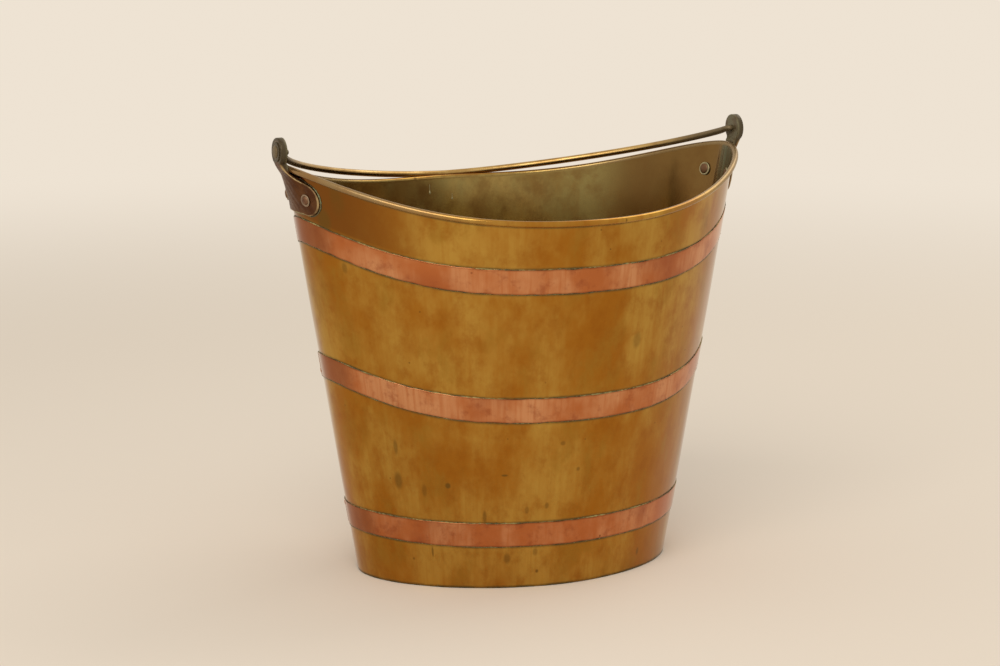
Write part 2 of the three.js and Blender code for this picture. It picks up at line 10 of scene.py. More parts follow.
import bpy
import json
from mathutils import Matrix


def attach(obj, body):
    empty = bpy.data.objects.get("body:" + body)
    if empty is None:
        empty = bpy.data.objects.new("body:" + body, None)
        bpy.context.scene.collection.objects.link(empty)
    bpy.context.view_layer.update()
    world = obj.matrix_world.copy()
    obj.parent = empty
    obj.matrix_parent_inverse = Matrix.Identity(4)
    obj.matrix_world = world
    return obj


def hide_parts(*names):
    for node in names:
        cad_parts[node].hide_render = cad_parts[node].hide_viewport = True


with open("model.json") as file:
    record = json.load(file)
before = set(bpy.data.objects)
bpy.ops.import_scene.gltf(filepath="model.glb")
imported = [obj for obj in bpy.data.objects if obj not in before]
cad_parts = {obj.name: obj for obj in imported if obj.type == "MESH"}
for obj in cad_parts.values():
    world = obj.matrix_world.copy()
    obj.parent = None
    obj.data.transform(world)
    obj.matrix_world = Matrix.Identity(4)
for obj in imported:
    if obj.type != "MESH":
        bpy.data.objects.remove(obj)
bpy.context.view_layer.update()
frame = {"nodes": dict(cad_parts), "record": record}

import json
import math

import bpy
import numpy as np
from mathutils import Matrix, Vector
from mathutils.geometry import delaunay_2d_cdt

# %% [markdown]
# ## The camera
#
# The photograph was taken with a long lens from about two and a half metres, a little above the
# bucket and 25 degrees to the left of its broad side. The camera is given by its place and by the
# three directions that the picture's width, height and depth run in, so nothing has to be aimed.

# %% Camera
IMAGE_WIDTH = 1000
FOCAL_PIXELS = 3107.0
SENSOR_MM = 36.0
CAMERA_PLACE = (-1.07322, -2.28136, 0.670)
CAMERA_RIGHT = (0.90712, -0.42085, 0.00481)
CAMERA_UP = (0.07452, 0.17184, 0.98230)

camera_data = bpy.data.cameras.new("camera")
camera_data.sensor_width = SENSOR_MM
camera_data.lens = FOCAL_PIXELS * SENSOR_MM / IMAGE_WIDTH
camera_data.clip_start = 0.05
camera_data.clip_end = 60.0
camera = bpy.data.objects.new("camera", camera_data)
bpy.context.scene.collection.objects.link(camera)
right = Vector(CAMERA_RIGHT).normalized()
up = Vector(CAMERA_UP)
up = (up - right * up.dot(right)).normalized()
turned_camera = Matrix((right, up, right.cross(up))).transposed().to_4x4()
camera.matrix_world = Matrix.Translation(CAMERA_PLACE) @ turned_camera
bpy.context.scene.camera = camera
bpy.context.scene.view_settings.view_transform = "Standard"
print("lens in mm:", round(camera_data.lens, 2))

# %% [markdown]
# ## The sizes of the bucket
#
# These are the CAD model's own sizes in millimetres, written once more here because the new
# surfaces have to lie where the solids are. The wall's plan is a superellipse: its exponent, here
# called fullness, is 2 for an ellipse and less for the pointed oval of this bucket.

# %% Sizes in millimetres
BASE_LENGTH, BASE_WIDTH, BASE_FULLNESS = 135.3, 96.9, 1.855
RIM_LENGTH, RIM_WIDTH, RIM_FULLNESS = 196.4, 141.9, 1.709
OUTLINE_SOFTNESS = 0.01
SIDE_BELLY = 2.4
END_HEIGHT, RIM_DIP, RIM_SWEEP = 336.9, 35.7, 2.94
SHEET = 1.0
GAP = 0.3
WIRE_RADIUS = 1.2
ROLL_END = -115.0
PAN_FLANGE, PAN_CORNER = 8.0, 3.0

BAND_WIDTH, BAND_SWEEP = 19.7, 3.7
BANDS = {
    "lower_band": (35.2, 4.2, 0.75),
    "middle_band": (139.6, 25.4, 0.25),
    "upper_band": (244.9, 32.7, 0.25),
}
LAP_START, LAP_LENGTH = math.radians(157.5), math.radians(9.0)

PIVOT_HEIGHT = END_HEIGHT + 13.6
EYE_MIDDLE = RIM_LENGTH + 9.1
EYE_RADIUS, EYE_THICKNESS = 11.3, 4.2
EYE_INNER = EYE_MIDDLE - EYE_THICKNESS / 2
EYE_OUTER = EYE_MIDDLE + EYE_THICKNESS / 2
NECK_WIDTH, NECK_STRAIGHT = 6.5, 2.2
TAIL_LOW, TAIL_HIGH, TAIL_SIDE = 1.2, 5.5, (0.85, 1.2)
LOBE_OFFSET, LOBE_HEIGHT, LOBE_RADIUS = 19.0, END_HEIGHT - 22.9, 13.0
FLANK_ANGLE, CROTCH_ANGLE, CROTCH_RISE, FLANK_PULL = 70.0, -110.0, 0.4, 9.1
RELIEF_RUN, NECK_RUN, FLARE_DROP, LEAST_LUG = 2.6, 3.5, 7.0, 2.0

RIVET_SHANK, RIVET_HEAD, RIVET_HEAD_HEIGHT = 2.5, 5.0, 2.0
RIVET_TAIL, RIVET_TAIL_HEIGHT = 4.2, 0.9
BURR_RADIUS, BURR_THICKNESS = 5.5, 1.0
PIN_SHANK, PIN_HEAD, PIN_HEAD_HEIGHT = 1.2, 2.6, 1.0

ROD_RADIUS, TENON_RADIUS = 2.75, 2.2
EYE_BACK = EYE_INNER - 1.2
BOW_LENGTH, BOW_REACH, BOW_FULLNESS = EYE_BACK - 3.1, RIM_WIDTH + 10.1, 1.57
BEND_REACH, SHOULDER_RUN = 9.0, 0.5
HEAD_RADIUS, HEAD_HEIGHT, HEAD_FLAT = 5.0, 1.1, 1.7
WASHER_RADIUS, WASHER_THICKNESS, WASHER_GAP = 8.0, 0.8, 0.1

swing = frame["record"]["behaviour"]["joints"][0]["range_deg"][1]
REST_ANGLE = math.radians((swing - 180.0) / 2)
print("the handle rests", round(math.degrees(REST_ANGLE), 2), "degrees below level")

# %% [markdown]
# ## From rows of points to a mesh
#
# Almost every piece here is a row of closed rings: the rings of a rod follow its path, those of a
# turned rivet climb its axis, and those of the wall stand side by side round the bucket. One helper
# joins such rings with quads, closes the ends with a point in the middle, turns the faces outwards
# by the sign of the volume, and stores any measure the materials need as a point attribute.

# %% Mesh helper
def six_volumes(points, triangles):
    """Six times the signed volume inside a closed surface: the sum of a . (b x c) of its triangles."""
    a, b, c = (points[triangles[:, k]] for k in range(3))
    return float(np.einsum("ij,ij->", a, np.cross(b, c)))


def mesh_piece(name, points, faces, measures, sharp_degrees):
    """A mesh object from points in mm and faces that may be triangles or quads, facing outwards."""
    triangles = np.array([f[:3] for f in faces] + [(f[0], f[2], f[3]) for f in faces if len(f) == 4])
    if six_volumes(points, triangles) < 0:
        faces = [f[::-1] for f in faces]
    mesh = bpy.data.meshes.new(name)
    mesh.from_pydata((points / 1000.0).tolist(), [], faces)
    for key, values in measures.items():
        vector = values.ndim == 2
        attribute = mesh.attributes.new(key, "FLOAT_VECTOR" if vector else "FLOAT", "POINT")
        attribute.data.foreach_set("vector" if vector else "value", values.astype(np.float32).ravel())
    mesh.polygons.foreach_set("use_smooth", np.ones(len(mesh.polygons), dtype=bool))
    mesh.set_sharp_from_angle(angle=math.radians(sharp_degrees))
    mesh.update()
    piece = bpy.data.objects.new(name, mesh)
    bpy.context.scene.collection.objects.link(piece)
    return piece


def ringed(name, rings, closed=False, measures=None, sharp_degrees=40.0):
    """Joins rings, an array (ring, point, xyz) in mm, into a closed mesh. An open row of rings gets
    a middle point at each end, and its measures there are the mean of the end ring's."""
    count, around = rings.shape[:2]
    i = np.arange(count if closed else count - 1)[:, None] * around
    onward = (i + around) % (count * around)
    j = np.arange(around)[None, :]
    k = (j + 1) % around
    faces = np.stack([i + j, onward + j, onward + k, i + k], -1).reshape(-1, 4).tolist()
    points = rings.reshape(-1, 3)
    stored = {
        key: values.reshape(count * around, *values.shape[2:]) for key, values in (measures or {}).items()}
    if not closed:
        for ring, turn in ((0, 1), (count - 1, -1)):
            first, pole = ring * around, len(points)
            j = np.arange(around)
            fan = np.stack([np.full(around, pole), first + j, first + (j + 1) % around], -1)
            faces += fan[:, ::turn].tolist()
            points = np.vstack([points, rings[ring].mean(0)])
            stored = {
                key: np.concatenate([values, values[first:first + around].mean(0, keepdims=True)])
                for key, values in stored.items()
            }
    return mesh_piece(name, points, faces, stored, sharp_degrees)


def finish_piece(piece, body, slot, material, *replaced):
    """Rides the piece on its CAD body, hides the CAD nodes it stands for and gives it its material. The slot is
    not used.
    """
    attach(piece, body)
    if replaced:
        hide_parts(*replaced)
    piece.data.materials.append(material)
    return piece


def turned(seat, axis, profile, around=48):
    """Rings of a turned piece: each (radius, height) of the profile is a circle round the axis."""
    axis = np.asarray(axis, float) / np.linalg.norm(axis)
    side = np.cross(axis, (0.0, 0.0, 1.0) if abs(axis[2]) < 0.9 else (1.0, 0.0, 0.0))
    side /= np.linalg.norm(side)
    over = np.cross(axis, side)
    turn = full_turn(around)
    circle = np.cos(turn)[:, None] * side + np.sin(turn)[:, None] * over
    radius, height = np.array(profile, float).T
    return np.asarray(seat) + radius[:, None, None] * circle + height[:, None, None] * axis


def full_turn(count):
    """Angles evenly round a full turn, in radians, the last one short of the first."""
    return np.linspace(0, 2 * np.pi, count, endpoint=False)


def run_length(points):
    """Length of a path in mm, rounded: the sum of the distances between its points."""
    return round(float(np.linalg.norm(np.diff(points, axis=0), axis=1).sum()))


def smooth(x, low, high):
    """0 below low, 1 above high, and 3k^2 - 2k^3 of the share k between them."""
    k = np.clip((x - low) / (high - low), 0.0, 1.0)
    return k * k * (3 - 2 * k)


def mix(a, b, k):
    """The point a share k of the way from a to b."""
    return a + (b - a) * k


# %% [markdown]
# ## The wall as a formula
#
# A brazier shaped this wall from one sheet, so it isn't perfectly even: it carries low waves from
# the mallet and a few shallow dents. They hardly change the outline, but a polished wall shows them
# at once, because a slope of one degree moves a reflection by two. They are therefore put into the
# surface itself, as a sum of long waves and soft hollows, and everything that lies on the wall
# follows the same formula.

# %% Wall surface
def swell(c, fullness):
    """Plan coordinate as a share of the half size, for the sine or cosine c of the plan angle: c to
    the power 2 / fullness, softened near zero."""
    share = (c * c + OUTLINE_SOFTNESS) / (1 + OUTLINE_SOFTNESS)
    return c * share ** (1 / fullness - 0.5)


def swell_slope(c, fullness):
    """How fast swell changes with c."""
    share = (c * c + OUTLINE_SOFTNESS) / (1 + OUTLINE_SOFTNESS)
    power = 1 / fullness - 0.5
    return share ** power + 2 * c * c * power * share ** (power - 1) / (1 + OUTLINE_SOFTNESS)


def wall_size(z):
    """Half length, half width and fullness of the plan at height z; the sides also belly out a little."""
    k = z / END_HEIGHT
    belly = SIDE_BELLY * 4 * k * (1 - k)
    return (mix(BASE_LENGTH, RIM_LENGTH, k), mix(BASE_WIDTH, RIM_WIDTH, k) + belly,
            mix(BASE_FULLNESS, RIM_FULLNESS, k))


def wall_out(t, z):
    """Level direction that leaves the plan outline squarely: its tangent turned by a right angle."""
    a, b, n = wall_size(z)
    dx = -a * np.sin(t) * swell_slope(np.cos(t), n)
    dy = b * np.cos(t) * swell_slope(np.sin(t), n)
    length = np.hypot(dx, dy)
    return np.stack([dy / length, -dx / length, np.zeros_like(length)], -1)


rng = np.random.default_rng(7)
WAVES = [
    (int(m), k, p, a)
    for m, k, p, a in zip(rng.integers(5, 22, 11), rng.uniform(-0.05, 0.05, 11),
                          rng.uniform(0, 2 * np.pi, 11), rng.uniform(0.02, 0.05, 11))
]
DENTS = [
    (rng.uniform(-np.pi, np.pi), rng.uniform(25, 285), rng.uniform(7, 17), rng.uniform(0.05, 0.22))
    for _ in range(26)
]
WAVES += [
    (int(m), k, p, a)
    for m, k, p, a in zip(rng.integers(28, 64, 12), rng.uniform(-0.16, 0.16, 12),
                          rng.uniform(0, 2 * np.pi, 12), rng.uniform(0.002, 0.006, 12))
]
MEAN_RADIUS = 140.0


def unevenness(t, z):
    """Waves a cos(m t + k z + p) with whole m, so they close round the bucket, less soft round dents
    depth exp(-(distance / size)^2). Both fade out at the rim and behind the lugs."""
    total = np.zeros(np.broadcast(t, z).shape)
    for m, k, p, a in WAVES:
        total = total + a * np.cos(m * t + k * z + p)
    for at, height, size, depth in DENTS:
        along = MEAN_RADIUS * ((t - at + np.pi) % (2 * np.pi) - np.pi)
        total = total - depth * np.exp(-(along ** 2 + (z - height) ** 2) / size ** 2)
    behind_lug = smooth(np.abs(np.cos(t)), 0.93, 0.985) * smooth(z, 270, 295)
    return total * (1 - smooth(z, END_HEIGHT - 70, END_HEIGHT - 36) * 0.8) * (1 - behind_lug)


def wall(t, z, out=0.0):
    """A point of the wall's outer face at plan angle t and height z, moved out along the level normal."""
    t, z = np.broadcast_arrays(np.asarray(t, float), np.asarray(z, float))
    a, b, n = wall_size(z)
    flat = np.stack([a * swell(np.cos(t), n), b * swell(np.sin(t), n), z], -1)
    return flat + wall_out(t, z) * np.asarray(out + unevenness(t, z))[..., None]


def wall_normal(t, z):
    """Unit normal of the wall: the level tangent crossed with the direction up the wall."""
    rise = wall(t, z + 0.5) - wall(t, z - 0.5)
    level = np.cross((0.0, 0.0, 1.0), wall_out(t, z))
    normal = np.cross(level, rise)
    return normal / np.linalg.norm(normal, axis=-1, keepdims=True)


SWEEP_ROUNDS = 8


def swept(t, low, rise, sweep):
    """Height of a line that lies at low along the sides and rises towards the pointed ends, by rise
    times the share of the half length to the power sweep."""
    z = np.zeros(np.broadcast(t, low).shape) + low
    for _ in range(SWEEP_ROUNDS):
        z = low + rise * np.abs(swell(np.cos(t), wall_size(z)[2])) ** sweep
    return z


def rim_height(t):
    return swept(t, END_HEIGHT - RIM_DIP, RIM_DIP, RIM_SWEEP)


BEAD_OUT = WIRE_RADIUS + GAP
BEAD_RADIUS = WIRE_RADIUS + GAP + SHEET


def bead(t, radius, degrees):
    """A point at an angle round the middle of the rolled rim: 0 points outwards and 90 up."""
    t, degrees = np.broadcast_arrays(np.asarray(t, float), np.asarray(degrees, float))
    z = rim_height(t)
    turn = np.radians(degrees)
    point = wall(t, z, BEAD_OUT) + wall_out(t, z) * (radius * np.cos(turn))[..., None]
    point[..., 2] += radius * np.sin(turn)
    return point


def skin(t, z, shift=0.0):
    """Coordinates for patterns, in metres: the plan outline at one height, so that a line straight
    up the sheet keeps its first two coordinates, and the height as the third."""
    t, z = np.broadcast_arrays(np.asarray(t, float), np.asarray(z, float))
    return np.stack([165 * swell(np.cos(t), 1.78), 120 * swell(np.sin(t), 1.78), z + shift], -1) / 1000.0


def wobble(t, seed, low, high, count=14):
    """Smooth noise round the bucket between about -1 and 1: cosines of t with whole frequencies."""
    draw = np.random.default_rng(seed)
    total = sum(
        np.cos(int(m) * t + p)
        for m, p in zip(draw.integers(low, high, count), draw.uniform(0, 2 * np.pi, count))
    )
    return total / math.sqrt(count)


samples = unevenness(*np.meshgrid(np.linspace(-np.pi, np.pi, 300), np.linspace(0, 300, 80)))
print("the wall wanders by", round(float(samples.std()), 3), "mm, at most",
      round(float(np.abs(samples).max()), 3))

# %% [markdown]
# ## Metals from nodes
#
# Old polished metal is never one colour. Brass goes from clear yellow where cloths reach it to
# brown and olive where they don't, with dark pits and a line of green and black along every joint.
# Each finish below is a metallic Principled shader whose colour, roughness and bump come from noise.
# The patterns are read from the skin attribute, so wiping marks run up the sheet and stay on it in
# every pose and every view.

# %% Node helpers
class Tree:
    """Short calls that add nodes to one material or world."""

    def __init__(self, tree):
        self.tree = tree
        tree.nodes.clear()

    def add(self, kind, settings=None, **values):
        """A node with its settings, and its sockets linked or set. Names use _ for a space."""
        node = self.tree.nodes.new(kind)
        for key, value in (settings or {}).items():
            setattr(node, key, value)
        for key, value in values.items():
            self.put(node.inputs[key.replace("_", " ")], value)
        return node

    def put(self, socket, value):
        if isinstance(value, bpy.types.NodeSocket):
            self.tree.links.new(value, socket)
        else:
            socket.default_value = value

    def measure(self, name, output="Fac"):
        return self.add("ShaderNodeAttribute", {"attribute_name": name}).outputs[output]

    def drawn(self, vector, z):
        """A pattern's place with its height times z, so that a small z draws the pattern out."""
        node = self.add("ShaderNodeVectorMath", {"operation": "MULTIPLY"})
        self.put(node.inputs[0], vector)
        node.inputs[1].default_value = (1, 1, z)
        return node.outputs[0]

    def noise(self, vector, scale, detail=3.0, rough=0.55):
        node = self.add("ShaderNodeTexNoise", Vector=vector, Scale=scale, Detail=detail, Roughness=rough)
        return node.outputs["Fac"]

    def spots(self, vector, scale, size, share):
        """Round spots, 1 in the middle, in that share of the cells of a Voronoi pattern."""
        cells = self.add("ShaderNodeTexVoronoi", Vector=vector, Scale=scale)
        near = self.ramp(cells.outputs["Distance"], size * 0.45, size, 1.0, 0.0)
        pick = self.add("ShaderNodeSeparateColor", Color=cells.outputs["Color"]).outputs[0]
        return self.times(near, self.math("LESS_THAN", pick, share))

    def math(self, operation, a, b=0.0):
        node = self.add("ShaderNodeMath", {"operation": operation})
        self.put(node.inputs[0], a)
        self.put(node.inputs[1], b)
        return node.outputs[0]

    def times(self, a, b):
        return self.math("MULTIPLY", a, b)

    def ramp(self, value, low, high, to_low=0.0, to_high=1.0):
        """Runs smoothly from one value to another as the input goes from low to high."""
        node = self.add("ShaderNodeMapRange", {"interpolation_type": "SMOOTHSTEP"})
        for socket, number in zip(node.inputs[:5], (value, low, high, to_low, to_high)):
            self.put(socket, number)
        return node.outputs[0]

    def blend(self, share, a, b):
        """Colour a where share is 0 and colour b where it is 1."""
        node = self.add("ShaderNodeMix", {"data_type": "RGBA"})
        self.put(node.inputs[0], share)
        for socket, colour in ((node.inputs[6], a), (node.inputs[7], b)):
            self.put(socket, colour if isinstance(colour, bpy.types.NodeSocket) else (*colour, 1.0))
        return node.outputs[2]

    def coats(self, colour, *coats):
        """Coats of (pattern, low, high, most, tone): none of the tone where the pattern is below low,
        and a share most of it above high."""
        for pattern, low, high, most, tone in coats:
            colour = self.blend(self.ramp(pattern, low, high, 0.0, most), colour, tone)
        return colour

    def between(self, share, a, b):
        """Number a where share is 0 and number b where it is 1."""
        node = self.add("ShaderNodeMix", {"data_type": "FLOAT"})
        for socket, value in ((node.inputs[0], share), (node.inputs[2], a), (node.inputs[3], b)):
            self.put(socket, value)
        return node.outputs[0]

    def bump(self, height, distance, before=None):
        node = self.add("ShaderNodeBump", Height=height, Distance=distance, Strength=1.0)
        if before is not None:
            self.put(node.inputs["Normal"], before)
        return node.outputs["Normal"]


def metal(name, paint, metallic=1.0):
    """A metallic material. The paint function returns its colour, roughness and normal sockets, and
    a fourth one where the metal is partly covered."""
    material = bpy.data.materials.new(name)
    material.use_nodes = True
    tree = Tree(material.node_tree)
    colour, roughness, normal, *bare = paint(tree)
    shader = tree.add("ShaderNodeBsdfPrincipled", Base_Color=colour, Roughness=roughness,
                      Metallic=bare[0] if bare else metallic)
    if normal is not None:
        tree.put(shader.inputs["Normal"], normal)
    tree.add("ShaderNodeOutputMaterial", Surface=shader.outputs[0])
    return material


# %% [markdown]
# ### Polished sheet brass
#
# The colours are darker than clean brass: partly tarnish, and partly painted dark reflection, the
# brown of darker surroundings than this even pale room, which a polished wall would mirror. The
# outside was rubbed with a cloth up and down, so its fine lines run up the sheet. Cloudy brown
# and olive tarnish lies in soft patches, thicker towards the bands and the rim where the cloth
# skips, and dark pits are scattered over it. Above the upper band at the left end lies a dark
# patch, partly tarnish and partly painted dark reflection, and the dark joint colour also paints
# shade in the crease under the rim and under the roll. Inside it was never polished: it is duller
# and greener, and its +X end is darker, partly tarnish and partly painted shade. One material
# does both, led by the inner attribute of the wall.

# %% Brass finish
# Darker than clean brass: partly tarnish, partly painted dark reflection.
BRASS_CLEAR = (0.49, 0.285, 0.055)
BRASS_WARM = (0.37, 0.145, 0.015)
BRASS_OLIVE = (0.35, 0.180, 0.026)
BRASS_SMUDGE = (0.17, 0.090, 0.018)
BRASS_SPOT = (0.07, 0.033, 0.010)
INSIDE_CLEAR = (0.385, 0.270, 0.086)
INSIDE_GREEN = (0.310, 0.245, 0.086)
INSIDE_BROWN = (0.260, 0.155, 0.042)
INSIDE_STAIN = (0.220, 0.128, 0.036)
JOINT_DARK = (0.120, 0.085, 0.030)
BRASS_RED = (0.31, 0.105, 0.010)
DARK_TARNISH_AND_REFLECTION = (0.200, 0.075, 0.014)
RIM_DULL = (0.32, 0.225, 0.105)
INSIDE_END_TARNISH_AND_SHADE = (0.165, 0.085, 0.023)
VERDIGRIS = (0.105, 0.110, 0.048)
MARKS = [
    (-131.0, 87, 3.3, 1.0, 0.90), (-148.2, 89, 5.0, 1.9, 0.62), (-113.2, 96, 3.8, 0.35, 0.85),
    (-147.8, 117, 2.6, 3.2, 0.55), (-112.0, 25, 4.4, 1.3, 0.55), (-115.7, 151, 2.4, 1.0, 0.75),
    (-94.5, 121, 3.0, 0.8, 0.50), (-87.5, 98, 2.3, 1.0, 0.55), (-99.0, 69, 2.6, 1.4, 0.55),
    (-119.5, 61, 2.4, 3.0, 0.60), (-105.8, 66, 2.6, 1.6, 0.45), (-102.2, 30, 3.0, 1.5, 0.45),
    (-54.8, 15, 3.0, 1.5, 0.60), (-137.8, 30, 1.4, 4.5, 0.70), (-139.0, 82, 3.0, 2.4, 0.45),
    (-68.8, 200, 5.5, 1.6, 0.40), (-163.5, 299, 8.0, 1.6, 0.80), (-158.0, 262, 3.0, 2.0, 0.45),
]


def paint_brass(tree):
    place = tree.measure("skin", "Vector")
    inner = tree.measure("inner")
    verge = tree.measure("verge")
    cloud = tree.noise(tree.drawn(place, 0.55), 13.0, 5.0, 0.62)
    cloud_two = tree.noise(tree.drawn(place, 0.6), 27.0, 5.0, 0.65)
    wipes = tree.noise(tree.drawn(place, 0.05), 240.0, 3.0, 0.6)
    brush = tree.noise(tree.drawn(place, 0.035), 620.0, 2.0, 0.5)
    blotch = tree.noise(tree.drawn(place, 0.8), 62.0, 6.0, 0.68)
    patina_and_dark_reflection = tree.add("ShaderNodeSeparateXYZ", Vector=tree.measure("patina_and_dark_reflection", "Vector"))
    smudges = tree.spots(tree.drawn(place, 0.4), 19.0, 0.17, 0.22)
    pits = tree.times(tree.spots(place, 30.0, 0.060, 0.30), 0.55)
    specks = tree.spots(place, 105.0, 0.10, 0.13)

    outside = tree.coats(
        BRASS_CLEAR, (cloud, 0.38, 0.62, 1.0, BRASS_WARM), (cloud_two, 0.50, 0.68, 0.75, BRASS_OLIVE),
        (wipes, 0.40, 0.75, 0.30, BRASS_WARM), (blotch, 0.42, 0.74, 0.62, BRASS_RED))
    # Dark patch above the upper band at the left end: partly tarnish, partly painted dark reflection.
    outside = tree.blend(tree.times(patina_and_dark_reflection.outputs[1], 0.92), outside, DARK_TARNISH_AND_REFLECTION)
    thin = tree.times(smudges, tree.ramp(cloud_two, 0.35, 0.60, 0.15, 0.6))
    for degrees, height, radius, stretch, share in MARKS:
        middle = skin(math.radians(degrees), height)
        offset = tree.add("ShaderNodeVectorMath", {"operation": "SUBTRACT"})
        tree.put(offset.inputs[0], place)
        offset.inputs[1].default_value = middle
        far = tree.add("ShaderNodeVectorMath", {"operation": "LENGTH"})
        tree.put(far.inputs[0], tree.drawn(offset.outputs[0], 1 / stretch))
        mark = tree.ramp(far.outputs["Value"], radius * 0.0004, radius * 0.001, share, 0.0)
        thin = tree.math("MAXIMUM", thin, mark)
    outside = tree.blend(thin, outside, BRASS_SMUDGE)
    along = tree.add("ShaderNodeSeparateXYZ", Vector=place).outputs[0]
    # Inside, towards the +X end, the colour turns darker: partly tarnish, partly painted shade.
    inside = tree.coats(
        INSIDE_CLEAR, (cloud, 0.42, 0.60, 1.0, INSIDE_GREEN), (cloud_two, 0.44, 0.66, 0.9, INSIDE_BROWN),
        (blotch, 0.44, 0.66, 0.65, INSIDE_STAIN), (along, 0.102, 0.132, 0.85, INSIDE_END_TARNISH_AND_SHADE))
    colour = tree.blend(inner, outside, inside)
    # Dark joint colour where the verge is small: crust along the joints, and painted shade in the crease under
    # the rim and under the roll.
    joint = tree.times(tree.ramp(verge, 0.3, 2.6, 1.0, 0.0), tree.ramp(cloud_two, 0.35, 0.6, 0.45, 1.0))
    colour = tree.blend(joint, colour, JOINT_DARK)
    faint = tree.times(specks, tree.ramp(inner, 0.0, 1.0, 0.55, 0.12))
    colour = tree.blend(tree.math("MAXIMUM", pits, faint), colour, BRASS_SPOT)

    dull = tree.times(patina_and_dark_reflection.outputs[0], tree.ramp(cloud_two, 0.32, 0.60, 0.65, 1.0))
    colour = tree.blend(dull, colour, RIM_DULL)
    green = tree.times(patina_and_dark_reflection.outputs[2], tree.ramp(wipes, 0.36, 0.62, 0.45, 1.0))
    colour = tree.blend(green, colour, VERDIGRIS)

    rough_out = tree.ramp(tree.math("ADD", wipes, cloud), 0.80, 1.25, 0.035, 0.115)
    rough_in = tree.ramp(cloud, 0.35, 0.65, 0.13, 0.22)
    roughness = tree.between(inner, rough_out, rough_in)
    covered = tree.math("MAXIMUM", joint, tree.math("MAXIMUM", dull, green))
    roughness = tree.math("ADD", roughness, tree.times(covered, 0.25))
    normal = tree.bump(brush, 0.0000055)
    normal = tree.bump(tree.times(pits, -1.0), 0.00010, normal)
    bare = tree.between(inner, 1.0, 0.89)
    bare = tree.between(dull, bare, 0.70)
    return colour, roughness, normal, tree.between(green, bare, 0.25)


brass = metal("polished brass sheet", paint_brass)

# %% [markdown]
# ### Copper strip
#
# The bands are the same age as the wall and were polished with it. Copper darkens to a dull orange
# brown, here in streaks along the strip's width from the same cloth, and its two edges are darker.

# %% Copper finish
COPPER_CLEAR = (0.64, 0.300, 0.140)
COPPER_WARM = (0.48, 0.150, 0.047)
COPPER_BROWN = (0.27, 0.090, 0.033)
COPPER_STAIN = (0.31, 0.080, 0.030)


def paint_copper(tree):
    place = tree.measure("skin", "Vector")
    edge = tree.measure("verge")
    cloud = tree.noise(tree.drawn(place, 0.7), 21.0, 4.0, 0.6)
    wipes = tree.noise(tree.drawn(place, 0.07), 330.0, 3.0, 0.6)
    brush = tree.noise(tree.drawn(place, 0.05), 620.0, 2.0, 0.5)
    spots = tree.spots(place, 60.0, 0.085, 0.22)
    stain = tree.noise(tree.drawn(place, 0.8), 9.0, 3.0, 0.55)
    blotch = tree.noise(place, 75.0, 5.0, 0.65)
    colour = tree.coats(
        COPPER_CLEAR, (cloud, 0.36, 0.64, 1.0, COPPER_WARM), (wipes, 0.38, 0.78, 0.6, COPPER_WARM),
        (stain, 0.55, 0.72, 0.75, COPPER_STAIN), (blotch, 0.50, 0.70, 0.55, COPPER_STAIN))
    along = tree.add("ShaderNodeSeparateXYZ", Vector=place).outputs[0]
    colour = tree.blend(tree.ramp(along, -0.161, -0.152, 0.75, 0.0), colour, COPPER_BROWN)
    dark = tree.times(tree.ramp(edge, 0.2, 1.6, 1.0, 0.0), tree.ramp(cloud, 0.3, 0.6, 0.2, 0.8))
    colour = tree.blend(tree.math("MAXIMUM", dark, spots), colour, COPPER_BROWN)
    roughness = tree.ramp(tree.math("ADD", wipes, cloud), 0.75, 1.25, 0.045, 0.15)
    normal = tree.bump(brush, 0.000004)
    normal = tree.bump(tree.times(spots, -1.0), 0.0001, normal)
    return colour, roughness, normal


copper = metal("polished copper strip", paint_copper)

# %% [markdown]
# ### Tarnish along the joints
#
# Polish and damp gather where a band meets the wall, and dry there as a crust: nearly black, with
# dull green and pale crumbs. The thread along a band's upper edge is paler than the lower one:
# partly pale crust, partly a painted highlight along the upper edge. It isn't metal any more, so
# its shader isn't metallic.

# %% Crust finish
def paint_crust(tree):
    place = tree.measure("skin", "Vector")
    pale = tree.measure("pale")
    lumps = tree.noise(place, 420.0, 4.0, 0.65)
    crumbs = tree.noise(place, 900.0, 2.0, 0.6)
    stretch = tree.noise(place, 60.0, 3.0, 0.6)
    colour = tree.coats(
        (0.022, 0.016, 0.006), (lumps, 0.40, 0.62, 1.0, (0.105, 0.080, 0.022)),
        (crumbs, 0.56, 0.66, 0.8, (0.34, 0.31, 0.14)), (stretch, 0.45, 0.68, 0.7, (0.085, 0.055, 0.016)))
    # How much pale tone a thread gets: a quarter on lower edges; all on upper edges, where it is partly a
    # painted highlight; green on the lug crust.
    light = tree.times(tree.math("MINIMUM", pale, 1.0), tree.ramp(stretch, 0.38, 0.58, 0.95, 0.10))
    light_tone = tree.blend(tree.ramp(pale, 1.0, 2.0), (0.360, 0.300, 0.105), (0.270, 0.300, 0.150))
    colour = tree.blend(light, colour, light_tone)
    normal = tree.bump(lumps, 0.0003)
    return colour, 0.80, normal


crust = metal("green and black crust", paint_crust, metallic=0.0)

# %% [markdown]
# ## The wall
#
# The sheet goes up its outer face, curls outwards over the wire, stops just short of the wall and
# comes back round and down the inner face. Its rows of points lie exactly on the edges of the
# bands, so that the verge attribute, the distance to the nearest joint, is true between rows too.
# The verge is also kept small just under the rim and round the underside of the roll, so that the
# dark joint colour paints shade there.
# The CAD wall has eighty flat facets, which a mirror finish would show, so it is replaced.

# %% Heights of the wall's rows
STATIONS = 480
ROW_SPACING = 5.0
CREASE_DROP = 3.2
around_wall = np.linspace(-np.pi, np.pi, STATIONS, endpoint=False)


def band_line(name, t, share):
    """Height of a band's line at a share of its width above its lower edge."""
    low, rise, _ = BANDS[name]
    return swept(t, low + BAND_WIDTH * share, rise, BAND_SWEEP)


